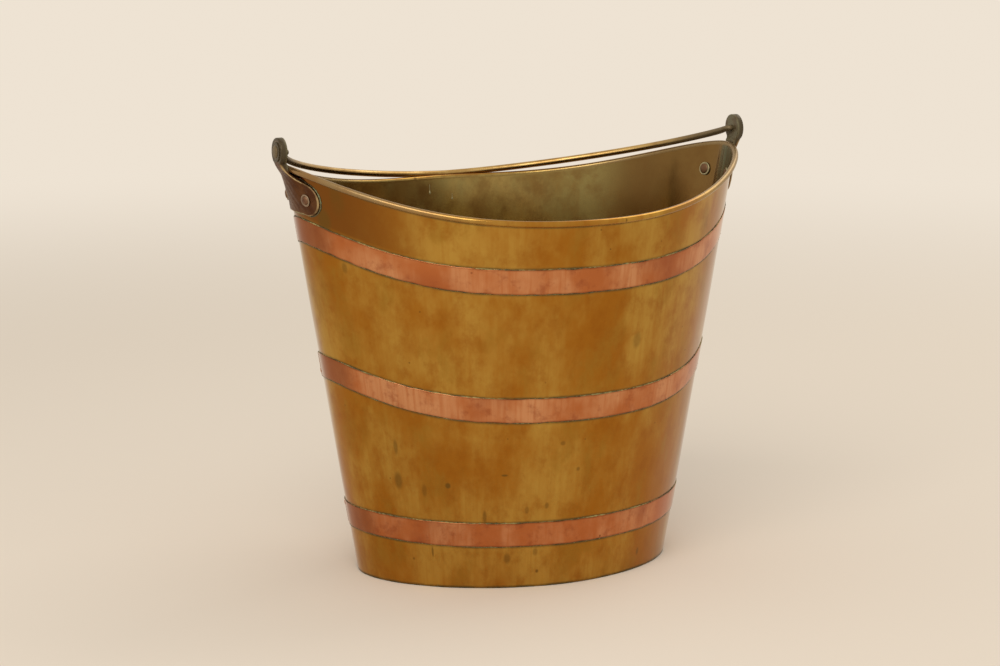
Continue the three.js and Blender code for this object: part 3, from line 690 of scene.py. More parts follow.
def wall_rows(t):
    """Heights (row, station) from the bottom to the rim, and each row's distance to a joint. Between
    two joints there are rows 1.2 and 3.5 mm from each, and evenly spaced ones in between. Just under
    the rolled rim the distance is kept small too, which paints shade in the crease below the bead."""
    joints = [np.zeros_like(t)]
    for name in BANDS:
        joints += [band_line(name, t, 0.0), band_line(name, t, 1.0)]
    joints.append(rim_height(t) - CREASE_DROP)
    rows = []
    for low, high in zip(joints[:-1], joints[1:]):
        steps = 2 + int((high - low).min() / ROW_SPACING)
        middle = [mix(low + 3.5, high - 3.5, k) for k in np.linspace(0, 1, steps)]
        rows += [low, low + 1.2, *middle, high - 1.2]
    rows = np.array(rows + [joints[-1], rim_height(t) - 1.2, rim_height(t)])
    distance = np.min([np.abs(rows - joint) for joint in joints[:-1]], axis=0)
    return rows, np.minimum(distance, 0.9 + 1.3 * np.abs(rows - joints[-1]))


# %% Wall piece
rows, row_verge = wall_rows(around_wall)
SEAM_HALF_WIDTH, SEAM_THICKNESS, END_RADIUS = 5.0, 0.35, 96.0
seam_distance = np.abs(around_wall) * END_RADIUS
seam_lap = SEAM_THICKNESS * (1 - smooth(seam_distance, SEAM_HALF_WIDTH - 0.6, SEAM_HALF_WIDTH + 0.6))
inside_roll = np.linspace(180, ROLL_END, 14)
outside_roll = np.linspace(ROLL_END, 180, 34)
t_row = around_wall[None, :]
outer = wall(t_row, rows[:-1])
roll_in = bead(t_row, BEAD_OUT, inside_roll[:, None])
roll_out = bead(t_row, BEAD_RADIUS, outside_roll[:, None])
inner_rows = rows[-2::-2]
inner = wall(t_row, inner_rows, -SHEET - seam_lap[None, :])
loop = np.concatenate([outer, roll_in, roll_out, inner])
counts = [len(outer), len(roll_in), len(roll_out), len(inner)]
full = np.ones(STATIONS)
over_top = smooth(outside_roll, 100, 170)
toward_ends = smooth(np.abs(np.cos(around_wall)), 0.35, 0.88)
left_end = 1 - smooth(np.cos(around_wall), -0.93, -0.62)
above_band = smooth(rows[:-1] - band_line("upper_band", around_wall, 1.0), -1.0, 4.0)
from_end = np.degrees(around_wall % np.pi)
green_side = smooth(from_end, 164, 172) + 1 - smooth(from_end, 0.2, 1.8)
none_out, none_roll, none_in = (np.zeros((n, STATIONS)) for n in (counts[0], counts[1], counts[3]))
rim_green = np.clip(green_side, 0, 1) * smooth(inner_rows, 294, 326)
# This vector holds: x dull tarnish of the rim roll towards the ends; y a dark patch at the left end above the
# upper band and on the roll there, partly tarnish and partly painted dark reflection; z verdigris inside by the
# ends.
patina_and_dark_reflection = np.concatenate([
    np.stack([none_out, above_band * left_end, none_out], -1),
    np.stack([none_roll] * 3, -1),
    np.stack([0.85 * toward_ends * np.ones((counts[2], 1)), 0.5 * left_end * (1 - over_top[:, None]),
              np.zeros((counts[2], STATIONS))], -1),
    np.stack([none_in, none_in, rim_green], -1)])
measures = {
    "patina_and_dark_reflection": patina_and_dark_reflection,
    "inner": np.concatenate([
        np.zeros((counts[0] + counts[1], STATIONS)), over_top[:, None] * full, np.ones((counts[3], STATIONS))]),
    "verge": np.concatenate([
        # Rows under the rim, the inside of the curl and the underside of the roll get a small verge: painted
        # shade in the dark joint colour.
        row_verge[:-1], np.zeros((counts[1], STATIONS)),
        (9 * smooth(outside_roll, ROLL_END, 20))[:, None] * full,
        np.minimum(mix(1.4, 30, smooth(seam_distance, 3.5, 6.5))[None, :], np.clip(inner_rows - 6, 1.5, 30))]),
    "skin": np.concatenate([
        skin(t_row, rows[:-1]), skin(t_row, rim_height(t_row) + 0 * inside_roll[:, None]),
        skin(t_row, rim_height(t_row) + outside_roll[:, None] * 0.02), skin(t_row, inner_rows, 700.0)]),
}
wall_piece = ringed(
    "brass_wall", loop.transpose(1, 0, 2), closed=True,
    measures={key: np.swapaxes(value, 0, 1) for key, value in measures.items()}, sharp_degrees=50)
finish_piece(wall_piece, "bucket", "brass_sheet", brass, "body_shell")
print("wall:", loop.shape[0], "points up and down,", STATIONS, "stations")

# %% [markdown]
# ## The bottom
#
# The bottom is a dished pan let in from below: a flat sheet with a turned-up flange soldered inside
# the wall. It is one profile carried round the plan outline, closed by a middle point on each side.

# %% Bottom pan
def pan_profile():
    """(distance in from the wall's outer face, height) from the middle of the underside, out round
    the corner, up the flange, over and back down inside to the middle of the floor."""
    outside = -SHEET - GAP
    corner = np.linspace(-90, 0, 6)
    lower = [(outside - PAN_CORNER + PAN_CORNER * math.cos(math.radians(a)),
              PAN_CORNER + PAN_CORNER * math.sin(math.radians(a))) for a in corner]
    small = PAN_CORNER - SHEET
    upper = [(outside - PAN_CORNER + small * math.cos(math.radians(a)),
              PAN_CORNER + small * math.sin(math.radians(a))) for a in corner[::-1]]
    return lower + [(outside, PAN_FLANGE), (outside - SHEET, PAN_FLANGE)] + upper


pan = np.array(pan_profile())
pan_rings = np.array([wall(around_wall, height, out) for out, height in pan])
pan_rings[..., 2] = pan[:, 1][:, None]
shares = np.array([0.12, 0.35, 0.6, 0.8, 0.93])[:, None, None]
under = pan_rings[0][None] * np.concatenate([np.repeat(shares, 2, -1), np.ones_like(shares)], -1)
dish = 0.35 * (1 - shares[::-1] ** 2)
floor_rings = pan_rings[-1][None] * np.concatenate([np.repeat(shares[::-1], 2, -1), np.ones_like(shares)], -1)
floor_rings[..., 2] += dish[..., 0]
rings = np.concatenate([under, pan_rings, floor_rings])
height = rings[..., 2]
pan_measures = {
    "inner": np.ones(height.shape),
    "patina_and_dark_reflection": np.zeros(rings.shape),
    "verge": np.where(height > SHEET + 0.6, 1.0, 9.0),
    "skin": rings / 1000.0 + (0, 0, 3.0),
}
pan_piece = ringed("bottom_pan", rings, measures=pan_measures)
finish_piece(pan_piece, "bucket", "brass_sheet", brass, "base_pan")
print("bottom pan:", rings.shape[0], "rings")

# %% [markdown]
# ## The copper bands
#
# Each band is one strip, cut from sheet, bent round the wall and lapped over its own start at the
# left end, where a small pin holds it. A strip is a slim profile with rounded edges carried along
# its line round the wall. Hand shears don't cut dead straight, so both edges wander slightly.

# %% Bands
EDGE_ROUND, EDGE_BEVEL = 0.24, 0.65
STRIP_SEAT, STRIP_THICKNESS, STRIP_FEATHER = 0.12, 0.55, 0.20
LAP_LIFT = (STRIP_THICKNESS + STRIP_FEATHER) / 2 + 0.04


def strip_profile():
    """Points (share of width, share of thickness, edge offset in mm) round the strip's section."""
    corner = np.radians(np.linspace(0, 90, 4))
    points = []
    for side, face, start in ((0, 1, 180), (1, 1, 90), (1, 0, 0), (0, 0, -90)):
        for a in np.radians(start) - corner:
            reach = EDGE_BEVEL if face == 1 else EDGE_ROUND
            points.append((side, face, reach * (math.cos(a) + (1 if side == 0 else -1)),
                           EDGE_ROUND * (math.sin(a) + (-1 if face == 1 else 1))))
    return points


def strip_points():
    """The section with extra points across both faces: (side share, up offset, face share, out offset)."""
    corners = strip_profile()
    quarters = np.linspace(0, 1, 6)[1:-1]
    outer_run = [(k, 0.0, 1, 0.0) for k in quarters]
    inner_run = [(1 - k, 0.0, 0, 0.0) for k in quarters]
    section = [(side, up, face, out) for side, face, up, out in corners]
    return np.array(section[:4] + outer_run + section[4:12] + inner_run + section[12:])


SECTION = strip_points()


def band_rings(name, seed):
    """The strip's section at each step round the wall, from under the lap to its free end."""
    steps = np.linspace(0, 2 * np.pi + LAP_LENGTH, 540)
    t = (LAP_START + steps)[:, None]
    side, up, face, out = SECTION.T
    start_thickness = STRIP_FEATHER + (STRIP_THICKNESS - STRIP_FEATHER) * np.clip(steps / LAP_LENGTH, 0, 1)
    over = np.clip((steps - 2 * np.pi) / LAP_LENGTH, 0, 1)
    below = mix(STRIP_FEATHER, STRIP_THICKNESS, over) + 0.04
    lift = (below * smooth(steps, 2 * np.pi - math.radians(4.5), 2 * np.pi))[:, None]
    thickness = np.minimum(start_thickness, mix(STRIP_THICKNESS, STRIP_FEATHER, over))[:, None]
    wander = 0.16 * np.stack([wobble(t[:, 0], seed + k, 6, 60) for k in (0, 1)], -1)
    edge_shift = np.where(side[None, :] < 0.5, wander[:, :1], wander[:, 1:])
    edge_shift = edge_shift * (np.abs(side[None, :] - 0.5) > 0.49)
    z = band_line(name, t, side[None, :]) + up[None, :] + edge_shift
    height = STRIP_SEAT + lift + thickness * (face + out / STRIP_THICKNESS)[None, :]
    points = wall(t, z, height)
    from_edge = np.minimum(side, 1 - side)[None, :] * BAND_WIDTH + np.abs(up)[None, :]
    shift = 2000.0 + seed
    return points, {"skin": skin(t, z, shift), "verge": from_edge + 0 * z}


for number, name in enumerate(BANDS):
    points, band_measures = band_rings(name, 40 + 10 * number)
    band_piece = ringed(f"copper_{name}", points, measures=band_measures, sharp_degrees=60)
    finish_piece(band_piece, "bucket", "copper_strip", copper, name)
    print(name, "runs", run_length(points[:, 0]), "mm")

# %% [markdown]
# The crust sits in the corner between a band's edge and the wall. It is a thin irregular thread:
# a small ring carried along the edge, whose radius and place wander.

# %% Crust threads
def thread(name, t, z, out, radius, up_shift, pale):
    """A closed thread along the wall: eight points round each step, at the given radius."""
    turn = full_turn(8)[None, :]
    across = radius[:, None] * np.cos(turn)
    rise = radius[:, None] * np.sin(turn)
    zz = z[:, None] + up_shift + rise
    points = wall(t[:, None], zz, out + across)
    values = {"skin": skin(t[:, None], zz) + across[..., None] / 1000, "pale": np.full(zz.shape, float(pale))}
    piece = ringed(name, points, closed=True, measures=values)
    return finish_piece(piece, "bucket", "copper_strip", crust)


THINNEST_CRUST, THICKEST_CRUST, CRUST_SEAT, CRUST_OFFSET = 0.08, 0.80, 0.10, 0.22
thread_t = np.linspace(-np.pi, np.pi, 900, endpoint=False)
for number, name in enumerate(BANDS):
    for share, edge_name, side in ((0.0, "lower", -1), (1.0, "upper", 1)):
        seed = 100 + 10 * number + side
        radius = 0.36 + 0.17 * wobble(thread_t, seed, 40, 300) + 0.14 * wobble(thread_t, seed + 3, 4, 20)
        radius = np.clip(radius, THINNEST_CRUST, THICKEST_CRUST)
        line = band_line(name, thread_t, share) + 0.12 * wobble(thread_t, seed + 5, 20, 160)
        # Upper threads paler than lower ones: partly painted highlight.
        pale = 0.25 + 0.75 * share
        thread(f"{name}_{edge_name}_crust", thread_t, line, CRUST_SEAT, radius, side * CRUST_OFFSET, pale)
print("six crust threads")

# %% [markdown]
# Two kinds of small turned pieces stand on the wall: the pins of the bands and the rivets of the
# lugs. A rounded head is a quarter ellipse turned round its axis.

# %% Rounded heads
def dome(radius, flat, low, high, steps=7):
    """Profile of a head: radius shrinks as the cosine and height grows as the sine of one angle."""
    a = np.linspace(0, np.pi / 2, steps)
    return list(zip(flat + (radius - flat) * np.cos(a), mix(low, high, np.sin(a))))


def turned_measures(rings, shift):
    """Object place in metres as the skin, and a constant distance from edges."""
    return {"skin": rings / 1000.0 + shift, "verge": np.full(rings.shape[:2], 5.0)}


for name, (_, _, pin_share) in BANDS.items():
    pin_t = LAP_START + LAP_LENGTH / 2
    pin_z = band_line(name, np.array([pin_t]), pin_share)[0]
    seat, normal = wall(pin_t, pin_z), wall_normal(pin_t, pin_z)
    top = STRIP_SEAT + LAP_LIFT + (STRIP_THICKNESS + STRIP_FEATHER) / 2 + 0.04
    profile = [(PIN_SHANK, GAP), (PIN_SHANK, top), *dome(PIN_HEAD, 0.05, top, top + PIN_HEAD_HEIGHT)]
    rings = turned(seat, normal, profile, 28)
    pin = ringed(f"copper_{name}_pin", rings, measures=turned_measures(rings, 5.0))
    finish_piece(pin, "bucket", "copper_strip", copper, f"{name}_pin")
print("three band pins")

# %% [markdown]
# ## The cast lugs
#
# A lug is a brass casting: an eye for the handle, a short neck that steps out over the rolled rim,
# and a tail with two round lobes that lies against the wall. Seen along the bucket its outline is
# flat, so it is drawn in the (y, z) plane. The outline is filled with triangles, and two height
# functions of (y, z) give the back, which follows the wall, and the front. The front rounds off
# towards the outline as a filed casting does.

# %% Lug outline
def plan_angle(y, line_y):
    """Plan angle near the +X end where a line round the wall reaches y, by halving."""
    low, high = np.zeros_like(y), np.full_like(y, np.pi / 2)
    for _ in range(40):
        middle = (low + high) / 2
        short = line_y(middle) < np.abs(y)
        low, high = np.where(short, middle, low), np.where(short, high, middle)
    return low


def wall_x(y, z, out):
    t = plan_angle(y, lambda a: wall(a, z, out)[..., 1])
    return wall(t, z, out)[..., 0]


def arc(cy, cz, radius, start, stop, count):
    a = np.radians(np.linspace(start, stop, count))
    return np.stack([cy + radius * np.cos(a), cz + radius * np.sin(a)], -1)


def curve(points, count):
    """A Bezier curve of two or three degrees through its end points."""
    k = np.linspace(0, 1, count)[:, None]
    p = [np.asarray(q, float) for q in points]
    while len(p) > 1:
        p = [mix(a, b, k) for a, b in zip(p[:-1], p[1:])]
    return p[0]


def lug_outline():
    """The right half from the top of the eye down its side, neck, flank, lobe and lower edge, and
    the same mirrored back up."""
    neck_z = PIVOT_HEIGHT - EYE_RADIUS - NECK_STRAIGHT
    flank = arc(LOBE_OFFSET, LOBE_HEIGHT, LOBE_RADIUS, FLANK_ANGLE, FLANK_ANGLE, 1)[0]
    crotch = arc(LOBE_OFFSET, LOBE_HEIGHT, LOBE_RADIUS, CROTCH_ANGLE, CROTCH_ANGLE, 1)[0]
    a = math.radians(FLANK_ANGLE)
    bend = flank + FLANK_PULL * np.array([-math.sin(a), math.cos(a)])
    meet = -math.degrees(math.acos(NECK_WIDTH / EYE_RADIUS))
    eye = arc(0, PIVOT_HEIGHT, EYE_RADIUS, 90, meet, 34)
    neck_top = eye[-1]
    below_eye, above_bend = (NECK_WIDTH - 0.4, neck_z + 1.0), (NECK_WIDTH, neck_z - FLANK_PULL / 2)
    neck = curve([neck_top, below_eye, above_bend, bend, flank], 34)
    lobe = arc(LOBE_OFFSET, LOBE_HEIGHT, LOBE_RADIUS, FLANK_ANGLE, CROTCH_ANGLE, 52)
    lower = curve([crotch, (0, crotch[1] + CROTCH_RISE), crotch * (-1, 1)], 25)[:13]
    half = np.concatenate([eye, neck[1:], lobe[1:], lower[1:]])
    return np.concatenate([half, (half * (-1, 1))[-2:0:-1]])


OUTLINE = lug_outline()
print("lug outline:", len(OUTLINE), "points,", run_length(np.vstack([OUTLINE, OUTLINE[:1]])), "mm round")

# %% Lug surfaces
RELIEF_END = END_HEIGHT - BEAD_RADIUS - GAP
BEAD_TOP = END_HEIGHT + BEAD_RADIUS + GAP
NECK_END = BEAD_TOP + NECK_RUN


def lug_back(y, z):
    """X of the back: on the wall, then clear of the rolled rim, then the eye's inner face."""
    on_wall = wall_x(y, np.minimum(z, END_HEIGHT), GAP)
    t = plan_angle(y, lambda a: wall(a, rim_height(a), BEAD_OUT)[..., 1])
    rim = wall(t, rim_height(t), BEAD_OUT)[..., 0] + BEAD_RADIUS + GAP
    clear = mix(on_wall, rim, smooth(z, RELIEF_END - RELIEF_RUN, RELIEF_END))
    return mix(clear, EYE_BACK, smooth(z, BEAD_TOP, NECK_END))


def tail_thickness(y, z):
    """Thin along the lower edge and thick at the neck; away from the middle it thins out again."""
    rise = np.clip((z - 301.0) / 30.0, 0, 1)
    return mix(mix(TAIL_LOW, TAIL_HIGH, rise), mix(*TAIL_SIDE, rise), smooth(np.abs(y), 7, 27))


def lug_front(y, z):
    """X of the front: the tail's thickness out from the wall, leaning out to the eye's outer face."""
    on_wall = wall_x(y, np.minimum(z, END_HEIGHT), GAP + tail_thickness(y, z))
    front = mix(on_wall, EYE_OUTER, smooth(z, END_HEIGHT - FLARE_DROP, NECK_END))
    return np.maximum(front, lug_back(y, z) + LEAST_LUG)


def to_outline(points):
    """Distance of each point to the nearest side of the outline."""
    a, b = OUTLINE, np.roll(OUTLINE, -1, 0)
    side = b - a
    offset = points[:, None, :] - a[None]
    k = np.clip((offset * side).sum(-1) / (side * side).sum(-1), 0, 1)
    return np.linalg.norm(offset - k[..., None] * side, axis=-1).min(1)


def inside_outline(points):
    """Even-odd rule: a ray along +y crosses the outline an odd number of times."""
    a, b = OUTLINE, np.roll(OUTLINE, -1, 0)
    y, z = points[:, 0, None], points[:, 1, None]
    spans = (a[:, 1] > z) != (b[:, 1] > z)
    cross = a[:, 0] + (z - a[:, 1]) * (b[:, 0] - a[:, 0]) / np.where(spans, b[:, 1] - a[:, 1], 1)
    return ((y < cross) & spans).sum(1) % 2 == 1


FRONT_ROUND, BACK_ROUND = 0.8, 0.35
BORE = TENON_RADIUS + GAP


def inset(distance):
    """The outline moved inwards by a distance, along the mean of its neighbouring sides' normals."""
    along = np.roll(OUTLINE, -1, 0) - np.roll(OUTLINE, 1, 0)
    normal = np.stack([along[:, 1], -along[:, 0]], -1)
    normal /= np.linalg.norm(normal, axis=1, keepdims=True)
    moved = OUTLINE + normal * distance
    return moved if inside_outline(moved).mean() > 0.5 else OUTLINE - normal * distance


def lug_plan():
    """Points and triangles of the flat lug: the outline, rings inside it where the edge is rounded,
    an even grid in the middle, and the round bore of the eye."""
    rings = [inset(d) for d in (0.12, 0.4, 0.8, 1.3)]
    grid = np.stack(np.meshgrid(np.arange(-33, 33, 1.1), np.arange(300, 363, 1.1)), -1).reshape(-1, 2)
    extra = np.concatenate([*rings, grid])
    extra = extra[inside_outline(extra)]
    distance = to_outline(extra)
    ring_points = distance < 1.35
    keep = np.where(ring_points, distance > 0.08, distance > 1.9)
    bore = arc(0, PIVOT_HEIGHT, BORE, 0, 360, 33)[:-1]
    keep &= np.hypot(extra[:, 0], extra[:, 1] - PIVOT_HEIGHT) > BORE + 0.5
    extra = extra[keep]
    points = np.concatenate([OUTLINE, bore, extra])
    count, hole = len(OUTLINE), len(bore)
    edges = [(i, (i + 1) % count) for i in range(count)]
    edges += [(count + i, count + (i + 1) % hole) for i in range(hole)]
    found = delaunay_2d_cdt([Vector(p) for p in points], edges, [], 1, 1e-5)
    flat = np.array([tuple(v) for v in found[0]])
    triangles = np.array([list(f) for f in found[2]])
    middle = flat[triangles].mean(1)
    solid = np.hypot(middle[:, 0], middle[:, 1] - PIVOT_HEIGHT) > BORE * 0.99
    return flat, triangles[solid & inside_outline(middle)]


def edge_loops(triangles):
    """Directed edges that belong to one triangle only: the outline and the bore."""
    edges = np.concatenate([triangles[:, [0, 1]], triangles[:, [1, 2]], triangles[:, [2, 0]]])
    known = set(map(tuple, edges.tolist()))
    return np.array([e for e in known if (e[1], e[0]) not in known])


flat, triangles = lug_plan()
depth = to_outline(flat)
y, z = flat.T
to_bore = np.hypot(y, z - PIVOT_HEIGHT) - BORE
depth = np.minimum(depth, np.maximum(to_bore, 0) + 0.2)


def rounding(depth, radius):
    """How far a rounded edge has dropped at a distance in from the outline: a quarter circle."""
    short = np.clip(radius - depth, 0, radius)
    return radius - np.sqrt(radius ** 2 - short ** 2)


CAST_WAVE, EYE_FOOT = 0.12, PIVOT_HEIGHT - 9
uneven = CAST_WAVE * (np.sin(y * 0.41 + 1.3) * np.sin(z * 0.37) + 0.6 * np.sin(y * 0.9 + z * 0.7))
front_x = lug_front(y, z) - rounding(depth, FRONT_ROUND) + uneven * smooth(depth, 0.5, 3) * (z < EYE_FOOT)
back_x = lug_back(y, z) + rounding(depth, BACK_ROUND)
front_points = np.stack([front_x, y, z], -1)
back_points = np.stack([back_x, y, z], -1)
count = len(flat)
loops = edge_loops(triangles)
lug_faces = triangles.tolist() + (triangles[:, ::-1] + count).tolist()
lug_faces += [(a, a + count, b + count, b) for a, b in loops.tolist()]
lug_points = np.concatenate([front_points, back_points])
print("lug:", len(lug_faces), "faces")

# %% [markdown]
# The casting was never polished much. It is a dark red brown with a grey green bloom on the eye,
# and its arris is bright brass: partly worn through, partly a painted highlight along the rounded edge.

# %% Lug finish
def paint_lug(tree):
    place = tree.measure("skin", "Vector")
    edge = tree.measure("verge")
    eye = tree.measure("eye")
    cloud = tree.noise(place, 70.0, 4.0, 0.6)
    grain = tree.noise(place, 900.0, 3.0, 0.6)
    colour = tree.blend(tree.ramp(cloud, 0.38, 0.62), (0.088, 0.030, 0.009), (0.138, 0.056, 0.019))
    bloom = tree.times(tree.ramp(eye, 0.2, 0.9), tree.ramp(cloud, 0.40, 0.56, 0.55, 1.0))
    colour = tree.blend(bloom, colour, (0.145, 0.125, 0.064))
    eye_edge = tree.times(tree.ramp(edge, 1.6, 3.1, 1.0, 0.0), tree.ramp(eye, 0.15, 0.5))
    colour = tree.blend(tree.times(eye_edge, 0.9), colour, (0.060, 0.044, 0.020))
    # Bright arris: partly wear, partly painted highlight.
    worn = tree.times(tree.ramp(edge, 0.35, 1.1, 1.0, 0.0), tree.ramp(cloud, 0.36, 0.60, 0.15, 0.75))
    worn = tree.times(worn, tree.ramp(eye, 0.05, 0.5, 1.0, 0.0))
    colour = tree.blend(worn, colour, (0.55, 0.42, 0.21))
    roughness = tree.ramp(grain, 0.3, 0.7, 0.30, 0.52)
    return colour, roughness, tree.bump(grain, 0.00006), tree.between(bloom, 0.9, 0.35)


lug_metal = metal("dark cast lug", paint_lug)
EYE_BLOOM = 0.62

for name, sign in (("left", -1), ("right", 1)):
    points = lug_points * (sign, sign, 1)
    values = {
        "skin": points / 1000.0,
        "verge": np.concatenate([depth, depth + 3]),
        "eye": np.concatenate([
            EYE_BLOOM * smooth(z, PIVOT_HEIGHT - EYE_RADIUS - 3, PIVOT_HEIGHT - 5),
            smooth(z, END_HEIGHT - 5, END_HEIGHT + 2)]),
    }
    lug = mesh_piece(f"cast_lug_{name}", points, lug_faces, values, 55)
    finish_piece(lug, "bucket", "cast_lug", lug_metal, f"lug_{name}")

# %% [markdown]
# ## Rivets and burrs
#
# Two copper rivets hold each lug. Inside the bucket each is hammered over a small brass ring, the
# burr. The heads outside are low domes with a hammered rim.

# %% Rivets and burrs
def rivet_seat(end, side):
    t = plan_angle(np.array([LOBE_OFFSET]), lambda a: wall(a, LOBE_HEIGHT)[..., 1])[0]
    turn = np.array([end, side, 1.0])
    return wall(t, LOBE_HEIGHT) * turn, wall_normal(t, LOBE_HEIGHT) * turn, t


_, _, seat_t = rivet_seat(1, 1)
step = 0.02
outs = wall_out(np.array([seat_t - step, seat_t + step]), LOBE_HEIGHT)
ends = wall(np.array([seat_t - step, seat_t + step]), LOBE_HEIGHT)
bend = np.linalg.norm(ends[1] - ends[0]) / math.acos(float(np.clip(outs[0] @ outs[1], -1, 1)))
burr_top = -(SHEET + GAP + BURR_RADIUS ** 2 / (2 * bend))
burr_low = burr_top - BURR_THICKNESS
tail_top = burr_low - GAP
tail_low = tail_top - RIVET_TAIL_HEIGHT
head_low = GAP + float(tail_thickness(LOBE_OFFSET, LOBE_HEIGHT)) + GAP
head_top = head_low + RIVET_HEAD_HEIGHT


def paint_rivet(tree):
    place = tree.measure("skin", "Vector")
    cloud = tree.noise(place, 190.0, 4.0, 0.6)
    blows = tree.add("ShaderNodeTexVoronoi", Vector=place, Scale=620.0).outputs["Distance"]
    inner = tree.measure("inner")
    colour = tree.blend(tree.ramp(cloud, 0.38, 0.62), (0.125, 0.054, 0.027), (0.210, 0.110, 0.062))
    colour = tree.blend(tree.ramp(tree.measure("verge"), 0.0, 3.0, 0.6, 0.0), colour, (0.40, 0.320, 0.220))
    colour = tree.blend(inner, colour, (0.175, 0.085, 0.035))
    roughness = tree.ramp(cloud, 0.3, 0.7, 0.34, 0.50)
    return colour, roughness, tree.bump(blows, 0.00008), tree.between(inner, 0.9, 0.5)


def paint_ring(tree):
    place = tree.measure("skin", "Vector")
    cloud = tree.noise(place, 160.0, 4.0, 0.6)
    colour = tree.blend(tree.ramp(cloud, 0.38, 0.62), (0.50, 0.440, 0.245), (0.33, 0.285, 0.150))
    return colour, tree.ramp(cloud, 0.3, 0.7, 0.34, 0.52), tree.bump(cloud, 0.00008), 0.45


FLAT_HEAD = 0.55
rivet_metal = metal("toned copper rivet", paint_rivet)
ring_metal = metal("dull brass ring", paint_ring)

for end_name, end in (("left", -1), ("right", 1)):
    for side_name, side in (("front", -1), ("back", 1)):
        seat, normal, _ = rivet_seat(end, side)
        closing = 1.0 if end < 0 else FLAT_HEAD
        rim_ring = [(RIVET_HEAD - back, head_low + closing * rise) for back, rise in
                    ((0, 0), (0, 0.45), (0.35, 0.85), (0.9, 0.95), (1.35, 0.70))]
        profile = [*reversed(dome(RIVET_TAIL, 0.05, tail_top, tail_low)), (RIVET_SHANK, tail_top),
                   (RIVET_SHANK, head_low), *rim_ring, *dome(
                       RIVET_HEAD - 1.5, 0.05, head_low + closing * 0.8, mix(head_low, head_top, closing))]
        rings = turned(seat, normal, profile, 40)
        values = turned_measures(rings, 0.0)
        inside_end = [1.0 if at < 0 else 0.0 for _, at in profile]
        from_rim = [0.0 if entry in rim_ring else 5.0 for entry in profile]
        values["inner"], values["verge"] = (
            np.repeat(np.array(row)[:, None], rings.shape[1], 1) for row in (inside_end, from_rim))
        piece = ringed(f"rivet_{end_name}_{side_name}_head", rings, measures=values)
        finish_piece(piece, "bucket", "rivet_copper", rivet_metal, f"rivet_{end_name}_{side_name}")
        bore, soft = RIVET_SHANK + GAP, 0.3
        section = [(bore, burr_low + 0.1), (bore + soft, burr_low), (BURR_RADIUS - soft, burr_low),
                   (BURR_RADIUS, burr_low + soft), (BURR_RADIUS, burr_top - 0.1), (BURR_RADIUS - 0.1, burr_top),
                   (bore, burr_top)]
        rings = turned(seat, normal, section, 48)
        piece = ringed(f"burr_{end_name}_{side_name}_ring", rings.transpose(1, 0, 2), closed=True,
                       measures={k: np.swapaxes(v, 0, 1) for k, v in turned_measures(rings, 0.0).items()})
        finish_piece(piece, "bucket", "ring_brass", ring_metal, f"burr_{end_name}_{side_name}")
print("four rivets and four burrs")

# %% [markdown]
# Green crust has also gathered on the wall round each tail, and two runs of solder have dried on
# the inside of the back wall. The crust is the same kind of thread as on the bands, laid along the
# lug's outline; a run is a narrow drop that ends in a bead.

# %% Crust round the lugs, and solder runs
def laid(middles, side, away, radius, flatness, around=10):
    """Rings round a path: the radius along the side direction and a flat share of it away from it."""
    turn = full_turn(around)[None, :, None]
    return middles[:, None] + radius[:, None, None] * (
        np.cos(turn) * side[:, None] + flatness * np.sin(turn) * away[:, None])


round_tail = 2 * OUTLINE - inset(0.5)
round_tail = round_tail[round_tail[:, 1] < END_HEIGHT - 6]
tail_y, tail_z = round_tail.T
tail_t = np.sign(tail_y) * plan_angle(tail_y, lambda a: wall(a, tail_z)[..., 1])
tail_middles, away = wall(tail_t, tail_z, 0.2), wall_normal(tail_t, tail_z)
run_along = np.gradient(tail_middles, axis=0)
side = np.cross(away, run_along / np.linalg.norm(run_along, axis=1, keepdims=True))
share = np.linspace(0, 2 * np.pi, len(tail_t))
for name, sign in (("left", -1), ("right", 1)):
    radius = 0.50 + 0.20 * wobble(share, 60 + sign, 5, 60) + 0.15 * wobble(share, 64 + sign, 1, 6)
    radius = np.clip(radius, 0.12, 0.95) * (1.0 if sign < 0 else 0.4)
    rings = laid(tail_middles, side, away, radius, 0.7) * (sign, sign, 1)
    crust_values = {"skin": rings / 1000.0, "pale": np.full(rings.shape[:2], 2.0)}
    finish_piece(ringed(f"lug_{name}_crust", rings, measures=crust_values), "bucket", "cast_lug", crust)

for number, (degrees, top, length, width) in enumerate(((96.8, 297.0, 9.0, 0.85), (88.0, 288.0, 5.5, 0.75))):
    k = np.linspace(0, 1, 18)
    z = top - length * k
    t = np.full_like(z, math.radians(degrees))
    bead_swell = 0.25 + 0.75 * np.exp(-((k - 0.84) / 0.13) ** 2)
    radius = width * bead_swell * np.sqrt(1 - k ** 12) * np.minimum(1, k * 8 + 0.1)
    away = -wall_out(t, z)
    rings = laid(wall(t, z, -SHEET), np.cross((0.0, 0.0, 1.0), away), away, np.maximum(radius, 0.02), 0.6)
    run = ringed(f"solder_run_{number}", rings, measures=turned_measures(rings, 0.0))
    finish_piece(run, "bucket", "brass_sheet", ring_metal)
print("two lug crusts and two solder runs")

# %% [markdown]
# ## The handle
#
# The handle is a drawn brass rod bent to a bow that follows the rim, with its two ends turned out
# through the eyes and hammered over washers. It is drawn flat in its own plane, reaching out along
# +Y from the pivots, and then turned down until it rests on the rim. Its rings stand square to the
# path, and their radius shrinks for the tenons and swells for the spread ends.

# %% Handle
def bow(t):
    """The bow in its own plane: a superellipse of the handle's reach and half length."""
    along, out = swell(np.cos(t), BOW_FULLNESS), swell(np.sin(t), BOW_FULLNESS)
    return np.stack([BOW_LENGTH * along, BOW_REACH * out], -1)


